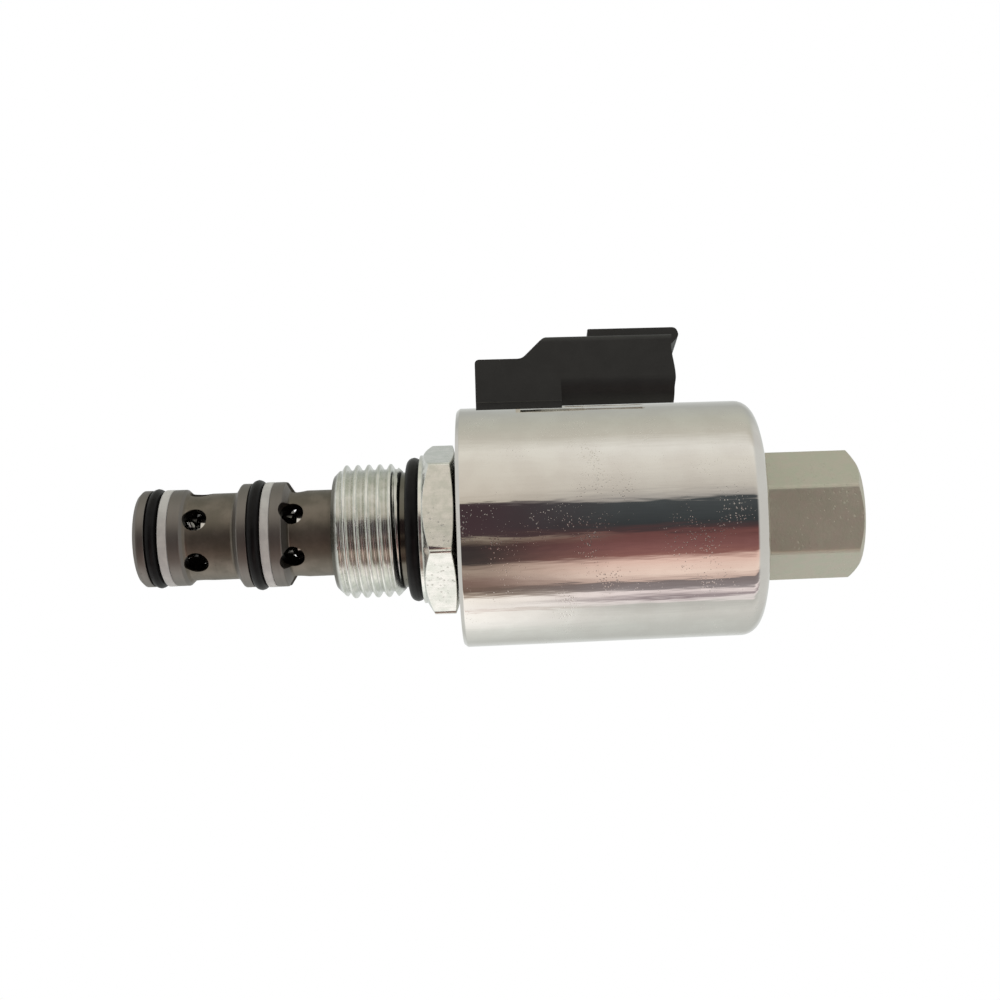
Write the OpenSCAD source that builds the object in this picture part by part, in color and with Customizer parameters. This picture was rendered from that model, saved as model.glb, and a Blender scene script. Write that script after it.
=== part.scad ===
// Solenoid cartridge valve, three ports: the nose points down, the coil nut points up.
// The origin is on the valve's axis, in the plane where the hex collar seats.
// The connector points along -X.

/* [Port thread and hex] */
// Outside diameter of the port thread
thread_d = 22.2; // [20.2:0.1:26.8]
// Pitch of the port thread
thread_pitch = 1.814; // [1.2:0.001:2.2]
// Length of the port thread
thread_len = 11; // [9:0.1:14]
// Length of the relief neck between thread and hex
neck_len = 3.1; // [2.9:0.1:4.5]
// Depth of that neck below the thread's crests
neck_depth = 1.5; // [1.3:0.1:2]
// How far each hex flat stands out beyond the thread's crests
hex_step = 1.6; // [1:0.1:3]
// Height of the hex, with its round seating collar
hex_h = 5.7; // [4.6:0.1:8]
// Height of the round seating collar
collar_h = 0.5; // [0.3:0.1:1.5]
// Turn of the adapter hex about the axis, in degrees
hex_turn = -3.6; // [-30:0.1:30]

/* [Cage] */
// Diameter of the nose land, which fits the lowest step of the cavity
nose_d = 15.85; // [14.8:0.05:19]
// How far the middle land stands out beyond the nose land
mid_step = 0.75; // [0.4:0.05:1.1]
// Depth of the port grooves below the nose land
port_groove_depth = 0.78; // [0.5:0.01:1]
// Length of the upper port groove
upper_port_len = 7; // [5.6:0.1:9]
// Length of the lower port groove
lower_port_len = 7.4; // [5.8:0.1:9]
// Length of the ground part of each land, above its seal
land_len = 1.9; // [1.4:0.1:3]
// Diameter of the radial port holes
port_hole_d = 3.8; // [2.8:0.1:4.6]
// Number of radial port holes in each groove
port_holes = 6; // [3:1:6]
// Turn of the upper row of port holes, in degrees
upper_holes_turn = 13.4; // [-60:0.1:60]
// Turn of the lower row of port holes, in degrees
lower_holes_turn = 17.5; // [-60:0.1:60]

/* [Seals] */
// Section of the nose O-ring
nose_ring_cs = 1.78; // [1.5:0.01:1.9]
// Section of the middle O-ring
mid_ring_cs = 2.0; // [1.7:0.01:2.1]
// Section of the O-ring under the hex
port_ring_cs = 2.4; // [2.1:0.01:2.6]
// Length of each backup ring along the axis
backup_len = 1.45; // [1.2:0.05:1.5]
// Section of the O-ring between coil and adapter
base_ring_cs = 1.9; // [1.6:0.01:2.2]
// Section of the O-ring in the coil nut
nut_ring_cs = 1.6; // [1.4:0.01:1.8]

/* [Spool and armature] */
// Diameter of the spool
spool_d = 9.46; // [7.8:0.01:11.4]
// Diameter of the armature plunger
plunger_d = 13.1; // [10.9:0.1:15.8]
// Length of the plunger
plunger_len = 31; // [26:0.5:36]
// Travel of the plunger and spool
stroke = 2.4; // [1.5:0.1:3]
// Wall of the guide tube
tube_wall = 1.25; // [0.8:0.05:2]
// Wire diameter of the return spring
spring_wire = 0.8; // [0.5:0.05:1.2]
// Outside diameter of the return spring
spring_d = 6; // [5:0.1:7]

/* [Coil] */
// Outside diameter of the coil shell
coil_d = 39.9; // [34:0.1:48]
// Length of the coil shell
coil_len = 49.5; // [42:0.1:58]
// Wall of the coil shell
shell_wall = 2; // [1.2:0.1:3]
// Thickness of the shell's closed top
shell_top = 3.2; // [3:0.1:5]
// Outside radius of the shell's upper edge
shell_round = 3; // [1:0.1:3]
// Thickness of the end plate that closes the shell below
end_plate_h = 3; // [2.5:0.1:5]
// Height of the gap between hex and coil
coil_gap = 0.6; // [0.4:0.1:2]

/* [Connector] */
// Width of the connector
conn_w = 19.4; // [18.4:0.1:24]
// Distance from the coil shell to the middle of the contact pins
pin_out = 4.95; // [4.6:0.05:6]
// Distance between the two contact pins
pin_pitch = 6; // [5.6:0.1:7]
// Diameter of the contact pins
pin_d = 1.58; // [1.2:0.01:2]
// Length of the contact pins inside the socket
pin_len = 10.5; // [8:0.1:13]
// Depth of the socket
socket_depth = 15; // [12:0.1:17]
// Wall of the socket
socket_wall = 1.5; // [1.2:0.1:2.2]
// Width of the latch rail on the connector's outer face
rail_w = 11; // [8:0.1:15]
// How far the latch rail reaches beyond the mouth
rail_over = 1.5; // [0:0.1:3]

/* [Coil nut] */
// Nut across flats
nut_af = 19.3; // [18.6:0.1:23.2]
// Height of the nut
nut_h = 17.4; // [15:0.1:21.2]
// Outside diameter of the stud's thread
stud_d = 12.7; // [10.6:0.1:13.6]

/* [Clearances] */
// Gap round the spool in its bore
spool_gap = 0.02; // [0.01:0.01:0.05]
// Gap round the plunger in the guide tube
plunger_gap = 0.1; // [0.05:0.01:0.2]
// Gap between the coil's bore and the guide tube
coil_bore_gap = 0.1; // [0.05:0.01:0.3]
// Gap between the stud and the nut's bore
nut_gap = 0.05; // [0.02:0.01:0.1]
// Gap at a soft seal's sides
seal_gap = 0.02; // [0.01:0.01:0.05]
// Gap at the faces of moulded and stacked pieces
seat_gap = 0.05; // [0.02:0.01:0.1]

/* [Hidden] */
$fn = 64;
eps = 0.01;

// Radii of the adapter
thread_r = thread_d / 2;
neck_r = thread_r - neck_depth;
hex_af = thread_d + 2 * hex_step;
hex_corner_r = hex_af / 2 / cos(30);
collar_r = hex_af / 2 - 0.35;
corner_step = hex_corner_r - collar_r + 0.3;
hex_low_slope = 0.58;
hex_top_slope = 0.22;
relief_h = 0.15;
relief_r = neck_r + port_ring_cs + 1.5 * seal_gap;
thread_end_r = thread_r - 1.7;
thread_top_r = neck_r + 0.25;
thread_sides = 48;
thread_end_z = -neck_len - thread_len;

// Radii of the cage
nose_r = nose_d / 2;
mid_r = nose_r + mid_step;
mid_lip_r = mid_r - 0.1;
groove_r = nose_r - port_groove_depth;
bore_r = spool_d / 2 + spool_gap;
port_bore_r = bore_r + 0.5;
nose_gland_r = nose_r + 0.25 - nose_ring_cs;
mid_gland_r = mid_r + 0.45 - mid_ring_cs;
tip_chamfer = 0.6;

// Levels of the cage, from the thread's lower end down to the tip
ring_room = 0.35;
backup_proud = 0.03;
nose_gland_len = nose_ring_cs + backup_len + ring_room;
mid_gland_len = mid_ring_cs + backup_len + ring_room / 2;
mid_slope_top_z = thread_end_z - upper_port_len;
mid_top_z = mid_slope_top_z - 1;
mid_gland_top_z = mid_top_z - land_len;
mid_gland_end_z = mid_gland_top_z - mid_gland_len;
mid_lip_end_z = mid_gland_end_z - 1.55;
mid_end_z = mid_lip_end_z - 0.9;
nose_slope_top_z = mid_end_z - lower_port_len;
nose_top_z = nose_slope_top_z - 0.8;
nose_gland_top_z = nose_top_z - land_len;
nose_gland_end_z = nose_gland_top_z - nose_gland_len;
nose_lip_end_z = nose_gland_end_z - 1.25;
tip_z = nose_lip_end_z - tip_chamfer;
upper_hole_z = mid_slope_top_z + 0.45;
lower_hole_z = nose_slope_top_z + 1.5;
cage_top_z = -5;

// Guide tube, plunger and pole piece
plunger_r = plunger_d / 2;
tube_in_r = plunger_r + plunger_gap;
tube_r = tube_in_r + tube_wall;
tube_seat_z = 1;
rib_r = min(bore_r + 0.25, plunger_r - 0.3);
plunger_z = tube_seat_z + seat_gap;
plunger_top_z = plunger_z + plunger_len;
shim_h = 0.15;
pole_face_z = plunger_top_z + stroke + seat_gap + shim_h;
coil_z = hex_h + coil_gap;
coil_top_z = coil_z + coil_len;
pole_shoulder_z = coil_top_z - 4.2;
spigot_r = tube_r + 1.1;

// Return spring
spring_r = spring_d / 2;
spring_pocket_r = spring_r + 0.3;
pocket_low = 8;
pocket_up = 6;
spring_z0 = plunger_top_z - pocket_low + seal_gap;
spring_z1 = pole_face_z + pocket_up - seal_gap;
spring_turns = 7;

// Spool and its link
spool_end_z = tip_z + 2.4;
spool_top_z = cage_top_z - 1.2;
spool_waist_r = spool_d * 0.36;
spool_drill_r = 1.9;
spool_port_r = 1;
// The spool's waists reach this far below and above the middle of the port holes
waist_below = 3.5;
waist_above = 0.5;
link_r = 1.5;
link_head_r = 2.7;
link_head_h = 2;
link_head_z = plunger_z + 3.4;
link_gap = 0.1;
link_socket = 5;

// Coil shell, bobbin and winding
coil_r = coil_d / 2;
pin_radius = coil_r + pin_out;
shell_bore_r = coil_r - shell_wall;
coil_bore_r = tube_r + coil_bore_gap;
coil_room_z0 = coil_z + end_plate_h;
coil_room_z1 = coil_top_z - shell_top;
sleeve_wall = 1;
bobbin_r = shell_bore_r - sleeve_wall - seat_gap;
bobbin_wall = 1.2;
bobbin_flange = 1.5;
tape_h = 0.3;
winding_r = bobbin_r - 0.5;
base_recess_r = spigot_r + base_ring_cs + 0.3;
base_recess_h = base_ring_cs + seal_gap + seat_gap - coil_gap;

// Connector, measured outwards from the valve's axis and up from the seat
boss_z = coil_z + 3.3;
boss_outer = pin_radius + 1.4;
barrel_outer = pin_radius + 5.35;
rail_outer = barrel_outer + 2.4;
slope_z0 = boss_z + 7.2;
slope_z1 = slope_z0 + 4.3;
barrel_z = boss_z + 14.15;
mouth_z = boss_z + 33.35;
rail_z = boss_z + 19.15;
socket_floor_z = mouth_z - socket_depth;
barrel_inner = coil_r - 1.6;
barrel_low_round = 4.5;
barrel_top_round = 1.2;
socket_inner = coil_r + seat_gap + socket_wall;
foot_step = 0.4;
foot_outer = sqrt(coil_r * coil_r - conn_w * conn_w / 4) + 1.5;
window_w = conn_w - 4;
window_z0 = boss_z + 2;
window_z1 = boss_z + 11;
pin_tip = 0.5;
shoulder_step = 0.25;
pin_base_z = barrel_z + 1;
strip_t = 0.8;
strip_w = 2.2;
strip_z = boss_z + 6.5;
strip_reach = pin_radius + strip_t / 2 - bobbin_r - 3 * seal_gap;

// Coil nut and stud
nut_top_z = coil_top_z + nut_h;
nut_corner_r = nut_af / 2 / cos(30) - 0.2;
nut_face_r = nut_af / 2 - 0.35;
nut_chamfer = 1.05;
stud_r = stud_d / 2;
stud_top_z = nut_top_z - 5.2;
nut_bore_top_z = stud_top_z + 1;
nut_ring_in_r = stud_r + 0.7;
nut_groove_r = nut_ring_in_r + nut_ring_cs + 2 * seal_gap;
nut_groove_z = coil_top_z + nut_ring_cs + 2 * seal_gap;
nut_turn = 16;

// Points on an arc of radius r round (x, y), from angle a0 to a1
function arc(x, y, r, a0, a1, steps = 8) =
    [for (i = [0:steps]) let (a = a0 + (a1 - a0) * i / steps) [x + r * cos(a), y + r * sin(a)]];

// Fraction of a turn left when whole turns are taken away
function part_turn(t) = t - floor(t);

// 60-degree thread: heights of the profile's corners within one pitch, and its depth
thread_depth = 0.6134 * thread_pitch;
flank = thread_depth * tan(30);
crest = thread_pitch / 8;
corner_z = [0, flank, flank + crest, 2 * flank + crest];

// How deep the profile lies below the crests at height h within one pitch
function thread_dip(h) =
    h < flank ? thread_depth * (1 - h / flank)
    : h < flank + crest ? 0
    : h < 2 * flank + crest ? thread_depth * (h - flank - crest) / flank
    : thread_depth;

// Radius of the port thread at height z above its lower end, at the given part of a turn
function thread_radius(z, turn) =
    min(thread_r - thread_dip(part_turn(z / thread_pitch - turn) * thread_pitch),
        thread_end_r + z,
        thread_top_r + (thread_len - z));

// A closed screw of the port thread, chamfered at both ends, standing on the thread's lower end
module thread_screw() {
    turns = ceil(thread_len / thread_pitch) + 2;
    rows = 4 * turns;
    heights = [for (i = [0:thread_sides - 1]) [for (j = [0:rows - 1])
        max(0, min(thread_len, thread_pitch * (floor(j / 4) - 1 + i / thread_sides) + corner_z[j % 4]))]];
    side = [for (i = [0:thread_sides - 1]) for (j = [0:rows - 1])
        let (z = heights[i][j], r = thread_radius(z, i / thread_sides), a = 360 * i / thread_sides)
        [r * cos(a), r * sin(a), z]];
    low = len(side);
    points = concat(side, [[0, 0, 0], [0, 0, thread_len]]);
    // The last column meets the first one a whole pitch higher
    function at(i, j) = i < thread_sides ? i * rows + j : min(j + 4, rows - 1);
    walls = [for (i = [0:thread_sides - 1]) for (j = [0:rows - 2])
        for (t = [[at(i, j), at(i, j + 1), at(i + 1, j + 1)],
                  [at(i, j), at(i + 1, j + 1), at(i + 1, j)]])
        if (points[t[0]] != points[t[1]] && points[t[1]] != points[t[2]] && points[t[0]] != points[t[2]]) t];
    ends = [for (i = [0:thread_sides - 1]) let (n = (i + 1) % thread_sides)
        for (t = [[low, i * rows, n * rows],
                  [low + 1, n * rows + rows - 1, i * rows + rows - 1]]) t];
    polyhedron(points, concat(walls, ends), convexity = 6);
}

// A hexagonal prism with one corner turned to the given angle
module hex_prism(corner_r, h, turn) {
    rotate([0, 0, turn]) cylinder(r = corner_r, h = h, $fn = 6);
}

// A ring of rectangular section
module ring(outer, inner, z, h) {
    translate([0, 0, z]) difference() {
        cylinder(r = outer, h = h);
        translate([0, 0, -eps]) cylinder(r = inner, h = h + 2 * eps);
    }
}

// An O-ring that lies on a shaft of the given radius, with its lowest point at z
module o_ring(shaft_r, cs, z) {
    translate([0, 0, z + cs / 2]) rotate_extrude()
        translate([shaft_r + seal_gap + cs / 2, 0]) circle(d = cs, $fn = 32);
}

// Threaded steel body with the hex that screws the valve into its cavity
module adapter() {
    color("gainsboro") difference() {
        union() {
            translate([0, 0, thread_end_z]) thread_screw();
            translate([0, 0, -neck_len - 1]) cylinder(r = neck_r, h = neck_len + 1 + relief_h + eps);
            intersection() {
                hex_prism(hex_corner_r, hex_h, hex_turn);
                rotate_extrude() polygon([
                    [0, relief_h], [relief_r, relief_h], [relief_r, 0], [collar_r, 0], [collar_r, collar_h],
                    [collar_r + corner_step, collar_h + hex_low_slope * corner_step],
                    [collar_r + corner_step, hex_h - hex_top_slope * corner_step],
                    [collar_r, hex_h], [0, hex_h]]);
            }
            translate([0, 0, hex_h - eps]) cylinder(r = spigot_r, h = coil_gap + eps);
        }
        rotate_extrude() polygon([
            [0, thread_end_z - 1], [groove_r, thread_end_z - 1], [groove_r, cage_top_z], [rib_r, cage_top_z],
            [rib_r, tube_seat_z], [tube_r, tube_seat_z], [tube_r, coil_z + 1], [0, coil_z + 1]]);
    }
}

// Ported sleeve below the thread, with two lands, two seal glands and two rows of port holes
module cage() {
    color("dimgray") difference() {
        rotate_extrude() polygon([
            [bore_r + 0.8, tip_z], [nose_r - tip_chamfer, tip_z], [nose_r, nose_lip_end_z],
            [nose_r, nose_gland_end_z], [nose_gland_r, nose_gland_end_z], [nose_gland_r, nose_gland_top_z],
            [nose_r, nose_gland_top_z], [nose_r, nose_top_z], [groove_r, nose_slope_top_z],
            [groove_r, mid_end_z], [mid_lip_r, mid_lip_end_z], [mid_lip_r, mid_gland_end_z],
            [mid_gland_r, mid_gland_end_z], [mid_gland_r, mid_gland_top_z], [mid_r, mid_gland_top_z],
            [mid_r, mid_top_z], [groove_r, mid_slope_top_z], [groove_r, cage_top_z], [bore_r, cage_top_z],
            [bore_r, upper_hole_z + 3], [port_bore_r, upper_hole_z + 2.5], [port_bore_r, upper_hole_z - 2.5],
            [bore_r, upper_hole_z - 3], [bore_r, lower_hole_z + 3], [port_bore_r, lower_hole_z + 2.5],
            [port_bore_r, lower_hole_z - 2.5], [bore_r, lower_hole_z - 3], [bore_r, tip_z + 0.8]]);
        port_row(upper_hole_z, upper_holes_turn);
        port_row(lower_hole_z, lower_holes_turn);
    }
}

// The radial drills of one row of port holes
module port_row(z, turn) {
    for (i = [0:port_holes - 1])
        rotate([0, 0, turn + 360 * i / port_holes])
            translate([bore_r - 1, 0, z]) rotate([0, 90, 0]) cylinder(d = port_hole_d, h = mid_r, $fn = 32);
}

// O-ring that seals the lowest port from the middle one
module nose_o_ring() {
    color("#1b1b1d") o_ring(nose_gland_r, nose_ring_cs, nose_gland_end_z + seal_gap);
}

// Plastic ring that backs the nose O-ring
module nose_backup_ring() {
    z = nose_gland_top_z - backup_len - seal_gap;
    color("#e6e4dc") ring(nose_r + backup_proud, nose_gland_r + seal_gap, z, backup_len);
}

// O-ring that seals the middle port from the upper one
module mid_o_ring() {
    color("#1b1b1d") o_ring(mid_gland_r, mid_ring_cs, mid_gland_end_z + seal_gap);
}

// Plastic ring that backs the middle O-ring
module mid_backup_ring() {
    z = mid_gland_top_z - backup_len - seal_gap;
    color("#e6e4dc") ring(mid_r + backup_proud, mid_gland_r + seal_gap, z, backup_len);
}

// O-ring under the hex, which seals the mouth of the cavity
module port_o_ring() {
    color("#1b1b1d") o_ring(neck_r, port_ring_cs, relief_h - port_ring_cs - seal_gap);
}

// Thin tube in which the plunger slides
module guide_tube() {
    color("silver") ring(tube_r, tube_in_r, tube_seat_z, pole_shoulder_z - tube_seat_z);
}

// Fixed magnetic core that closes the tube, with the stud for the coil nut
module pole_piece() {
    low_r = tube_in_r - seal_gap;
    color("lightgray") rotate_extrude() polygon([
        [spring_pocket_r, pole_face_z], [low_r, pole_face_z], [low_r, pole_shoulder_z],
        [tube_r, pole_shoulder_z], [tube_r, coil_top_z - 0.6], [tube_r - 0.4, coil_top_z - 0.2],
        [stud_r - 0.8, coil_top_z - 0.2], [stud_r - 0.8, coil_top_z + 1.2], [stud_r, coil_top_z + 2],
        [stud_r, stud_top_z - 1], [stud_r - 1, stud_top_z], [0, stud_top_z],
        [0, pole_face_z + pocket_up], [spring_pocket_r, pole_face_z + pocket_up]]);
}

// Thin brass washer that keeps the plunger from sticking to the pole
module residual_shim() {
    color("goldenrod") ring(plunger_r - 0.5, spring_pocket_r, pole_face_z - shim_h, shim_h);
}

// Hollow sliding spool with three lands
module spool() {
    r = spool_d / 2;
    color("silver") difference() {
        rotate_extrude() polygon(concat(
            [[0, spool_end_z], [r - 0.3, spool_end_z], [r, spool_end_z + 0.3]],
            waist(lower_hole_z - waist_below, lower_hole_z + waist_above, r),
            waist(upper_hole_z - waist_below, upper_hole_z + waist_above, r),
            [for (i = [0:2]) each pressure_groove(upper_hole_z + 6 + 2 * i, r)],
            [[r, spool_top_z - 0.3], [r - 0.3, spool_top_z], [0, spool_top_z]]));
        translate([0, 0, spool_end_z - 1]) cylinder(r = spool_drill_r, h = lower_hole_z - spool_end_z + 2);
        for (i = [0:2]) rotate([0, 0, 120 * i + 10])
            translate([0, 0, lower_hole_z - waist_below / 2]) rotate([0, 90, 0])
                cylinder(r = spool_port_r, h = r, $fn = 32);
        translate([0, 0, spool_top_z - link_socket]) cylinder(r = link_r, h = link_socket + 1);
    }
}

// Outline points of the spool's waist between two heights, with sloping ends
function waist(z0, z1, r) = [[r, z0], [spool_waist_r, z0 + 1], [spool_waist_r, z1 - 1], [r, z1]];

// Outline points of a shallow groove in a shaft of radius r, at height z
function pressure_groove(z, r) = [[r, z - 0.25], [r - 0.3, z - 0.25], [r - 0.3, z + 0.25], [r, z + 0.25]];

// Stem pressed into the spool, whose head hangs in the plunger's slot
module spool_link() {
    foot_z = spool_top_z - link_socket;
    color("slategray") rotate_extrude() polygon([
        [0, foot_z], [link_r, foot_z], [link_r, link_head_z], [link_head_r, link_head_z],
        [link_head_r, link_head_z + link_head_h - 0.3], [link_head_r - 0.3, link_head_z + link_head_h],
        [0, link_head_z + link_head_h]]);
}

// Magnetic plunger, slotted below for the spool's link and drilled above for the spring
module plunger() {
    neck_gap_r = link_r + link_gap;
    head_gap_r = link_head_r + link_gap;
    neck_h = link_head_z - plunger_z + 2;
    head_low = link_head_z - seal_gap;
    head_h = link_head_h + 2 * seal_gap;
    color("darkgray") difference() {
        rotate_extrude() polygon([
            [0, plunger_z], [plunger_r - 0.4, plunger_z], [plunger_r, plunger_z + 0.4],
            [plunger_r, plunger_top_z - 0.4], [plunger_r - 0.4, plunger_top_z], [0, plunger_top_z]]);
        translate([0, 0, plunger_z - 1]) cylinder(r = neck_gap_r, h = neck_h);
        translate([-neck_gap_r, 0, plunger_z - 1]) cube([2 * neck_gap_r, plunger_r + 1, neck_h]);
        translate([0, 0, head_low]) cylinder(r = head_gap_r, h = head_h);
        translate([-head_gap_r, 0, head_low]) cube([2 * head_gap_r, plunger_r + 1, head_h]);
        translate([0, 0, plunger_top_z - pocket_low]) cylinder(r = spring_pocket_r, h = pocket_low + 1);
        // Two drills let the oil past the plunger
        for (s = [-1, 1]) translate([s * (plunger_r - 1.2), 0, plunger_z - 1])
            cylinder(r = 0.6, h = plunger_len + 2);
    }
}

// Helical wire spring that pushes the plunger away from the pole
module return_spring() {
    wire_r = spring_wire / 2;
    mid = spring_r - wire_r;
    sides = 6;
    per_turn = 16;
    steps = per_turn * spring_turns;
    rise = spring_z1 - spring_z0 - spring_wire;
    points = [for (i = [0:steps]) let (a = 360 * i / per_turn, z = spring_z0 + wire_r + rise * i / steps)
        for (k = [0:sides - 1]) let (b = 360 * k / sides, r = mid + wire_r * cos(b))
        [r * cos(a), r * sin(a), z + wire_r * sin(b)]];
    walls = [for (i = [0:steps - 1]) for (k = [0:sides - 1])
        let (p = i * sides + k, q = i * sides + (k + 1) % sides)
        for (t = [[p, p + sides, q + sides], [p, q + sides, q]]) t];
    ends = [[for (k = [0:sides - 1]) k], [for (k = [sides - 1:-1:0]) steps * sides + k]];
    color("lightsteelblue") polyhedron(points, concat(walls, ends), convexity = 6);
}

// Drawn steel can round the winding, with a window for the connector's neck
module coil_shell() {
    color("whitesmoke") difference() {
        rotate_extrude() polygon(concat(
            [[shell_bore_r, coil_z], [coil_r - 0.5, coil_z], [coil_r, coil_z + 0.6]],
            arc(coil_r - shell_round, coil_top_z - shell_round, shell_round, 0, 90),
            [[coil_bore_r, coil_top_z], [coil_bore_r, coil_room_z1], [shell_bore_r, coil_room_z1]]));
        translate([-coil_r - 1, -window_w / 2, window_z0])
            cube([coil_r + 1 - shell_bore_r * 0.8, window_w, window_z1 - window_z0]);
    }
}

// Steel plate that closes the shell below and leads the magnetic field back
module end_plate() {
    color("gainsboro") rotate_extrude() polygon([
        [spigot_r, coil_z], [coil_bore_r, coil_z], [coil_bore_r, coil_room_z0],
        [shell_bore_r, coil_room_z0], [shell_bore_r, coil_z], [base_recess_r, coil_z],
        [base_recess_r, coil_z + base_recess_h], [spigot_r, coil_z + base_recess_h]]);
}

// Plastic spool that carries the winding
module bobbin() {
    z0 = coil_room_z0;
    z1 = coil_room_z1;
    core_r = coil_bore_r + bobbin_wall;
    color("ivory") rotate_extrude() polygon([
        [coil_bore_r, z0], [bobbin_r, z0], [bobbin_r, z0 + bobbin_flange], [core_r, z0 + bobbin_flange],
        [core_r, z1 - bobbin_flange], [bobbin_r, z1 - bobbin_flange], [bobbin_r, z1], [coil_bore_r, z1]]);
}

// Copper winding
module winding() {
    z0 = coil_room_z0 + bobbin_flange;
    color("peru") ring(winding_r, coil_bore_r + bobbin_wall, z0, coil_room_z1 - bobbin_flange - z0);
}

// Insulating tape round the winding
module winding_tape() {
    z0 = coil_room_z0 + bobbin_flange;
    color("khaki") ring(winding_r + tape_h, winding_r, z0, coil_room_z1 - bobbin_flange - z0);
}

// Section of the connector's barrel, with rounded corners: width along X, outwards along Y
module barrel_section(half_w, y0, y1, low_round, top_round) {
    polygon(concat(
        arc(half_w - low_round, y0 + low_round, low_round, -90, 0),
        arc(half_w - top_round, y1 - top_round, top_round, 0, 90),
        arc(-half_w + top_round, y1 - top_round, top_round, 90, 180),
        arc(-half_w + low_round, y0 + low_round, low_round, 180, 270)));
}

// Puts a section drawn with its width along X and outwards along Y onto the connector's side of the valve
module on_connector(z, h) {
    translate([0, 0, z]) rotate([0, 0, 90]) linear_extrude(height = h) children();
}

// Connector body moulded in one with the sleeve round the winding
module connector_housing() {
    half = conn_w / 2;
    neck_half = window_w / 2 - seat_gap;
    color("#2a2b2b") difference() {
        union() {
            // Boss with its slope up to the barrel
            translate([0, half, 0]) rotate([90, 0, 0]) linear_extrude(height = conn_w) polygon(concat(
                [[-coil_r + 4, boss_z], [-boss_outer + 0.7, boss_z]],
                [[-boss_outer, boss_z + 0.7], [-boss_outer, slope_z0 - 0.8]],
                [[-boss_outer - 0.4, slope_z0 + 0.2], [-barrel_outer + 0.6, slope_z1 - 0.5]],
                [[-barrel_outer, slope_z1 + 0.6], [-barrel_outer, barrel_z], [-coil_r + 4, barrel_z]]));
            on_connector(barrel_z - 1, mouth_z - barrel_z + 1)
                barrel_section(half, barrel_inner, barrel_outer, barrel_low_round, barrel_top_round);
            on_connector(rail_z, mouth_z - rail_z + rail_over)
                barrel_section(rail_w / 2, barrel_outer - 0.6, rail_outer, 0.2, 0.6);
        }
        translate([0, 0, boss_z - 1]) cylinder(r = coil_r + seat_gap, h = mouth_z - boss_z + 2);
        on_connector(socket_floor_z, socket_depth + rail_over + 1)
            barrel_section(half - socket_wall, socket_inner, barrel_outer - socket_wall, 2.5, 0.8);
        // Shallow step above the shell on both sides of the boss
        for (s = [0, 1]) mirror([0, s, 0]) translate([-foot_outer, half - foot_step, boss_z - 1])
            cube([foot_outer, foot_step + 1, barrel_z - boss_z + 1]);
        terminals(seal_gap);
    }
    // Sleeve inside the shell, with the neck that passes through the window
    color("#2a2b2b") difference() {
        union() {
            ring(shell_bore_r - seal_gap, bobbin_r + seal_gap, coil_room_z0 + seal_gap,
                 coil_room_z1 - coil_room_z0 - 2 * seal_gap);
            difference() {
                translate([-coil_r - 1, -neck_half, window_z0 + seat_gap])
                    cube([coil_r + 1 - bobbin_r, 2 * neck_half, window_z1 - window_z0 - 2 * seat_gap]);
                translate([0, 0, window_z0]) cylinder(r = bobbin_r + seal_gap, h = window_z1 - window_z0);
            }
        }
        terminals(seal_gap);
    }
}

// Both terminals, grown by a gap on every side
module terminals(gap) {
    for (s = [-1, 1]) terminal(s, gap);
}

// One terminal: the round contact pin on its shoulder, and the flat strip that leads down to the winding
module terminal(side, gap) {
    y = side * pin_pitch / 2;
    straight = pin_len - pin_tip;
    translate([-pin_radius, y, pin_base_z - gap])
        cylinder(d = pin_d + 2 * shoulder_step + 2 * gap, h = socket_floor_z - pin_base_z + gap);
    translate([-pin_radius, y, socket_floor_z]) {
        cylinder(d = pin_d, h = straight);
        translate([0, 0, straight]) cylinder(d1 = pin_d, d2 = pin_d - 2 * pin_tip, h = pin_tip);
    }
    translate([-pin_radius - strip_t / 2 - gap, y - strip_w / 2 - gap, strip_z - gap])
        cube([strip_t + 2 * gap, strip_w + 2 * gap, pin_base_z + 0.5 - strip_z + 2 * gap]);
    translate([-pin_radius - strip_t / 2 - gap, y - strip_w / 2 - gap, strip_z - gap])
        cube([strip_reach + 2 * gap, strip_w + 2 * gap, strip_t + 2 * gap]);
}

// Contact of the first connector pin
module terminal_a() {
    color("silver") terminal(-1, 0);
}

// Contact of the second connector pin
module terminal_b() {
    color("silver") terminal(1, 0);
}

// O-ring between the coil and the adapter
module base_o_ring() {
    color("#1b1b1d") o_ring(spigot_r, base_ring_cs, hex_h + seat_gap);
}

// O-ring between the coil nut and the coil
module nut_o_ring() {
    color("#1b1b1d") o_ring(nut_ring_in_r, nut_ring_cs, coil_top_z + seal_gap);
}

// Closed hex nut that clamps the coil on its tube
module coil_nut() {
    color("darkkhaki") difference() {
        intersection() {
            translate([0, 0, coil_top_z]) hex_prism(nut_af / 2 / cos(30), nut_h, nut_turn);
            rotate_extrude() polygon([
                [0, coil_top_z], [nut_corner_r - 0.4, coil_top_z], [nut_corner_r, coil_top_z + 0.3],
                [nut_corner_r, nut_top_z - nut_chamfer], [nut_face_r - 0.1, nut_top_z - 0.1],
                [nut_face_r - 0.4, nut_top_z], [0, nut_top_z]]);
        }
        rotate_extrude() polygon([
            [0, coil_top_z - 1], [nut_groove_r, coil_top_z - 1], [nut_groove_r, nut_groove_z],
            [stud_r + nut_gap, nut_groove_z], [stud_r + nut_gap, nut_bore_top_z], [0, nut_bore_top_z + 2.5]]);
    }
}

adapter();
cage();
nose_o_ring();
nose_backup_ring();
mid_o_ring();
mid_backup_ring();
port_o_ring();
guide_tube();
pole_piece();
residual_shim();
spool();
spool_link();
plunger();
return_spring();
coil_shell();
end_plate();
bobbin();
winding();
winding_tape();
connector_housing();
terminal_a();
terminal_b();
base_o_ring();
nut_o_ring();
coil_nut();
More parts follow.
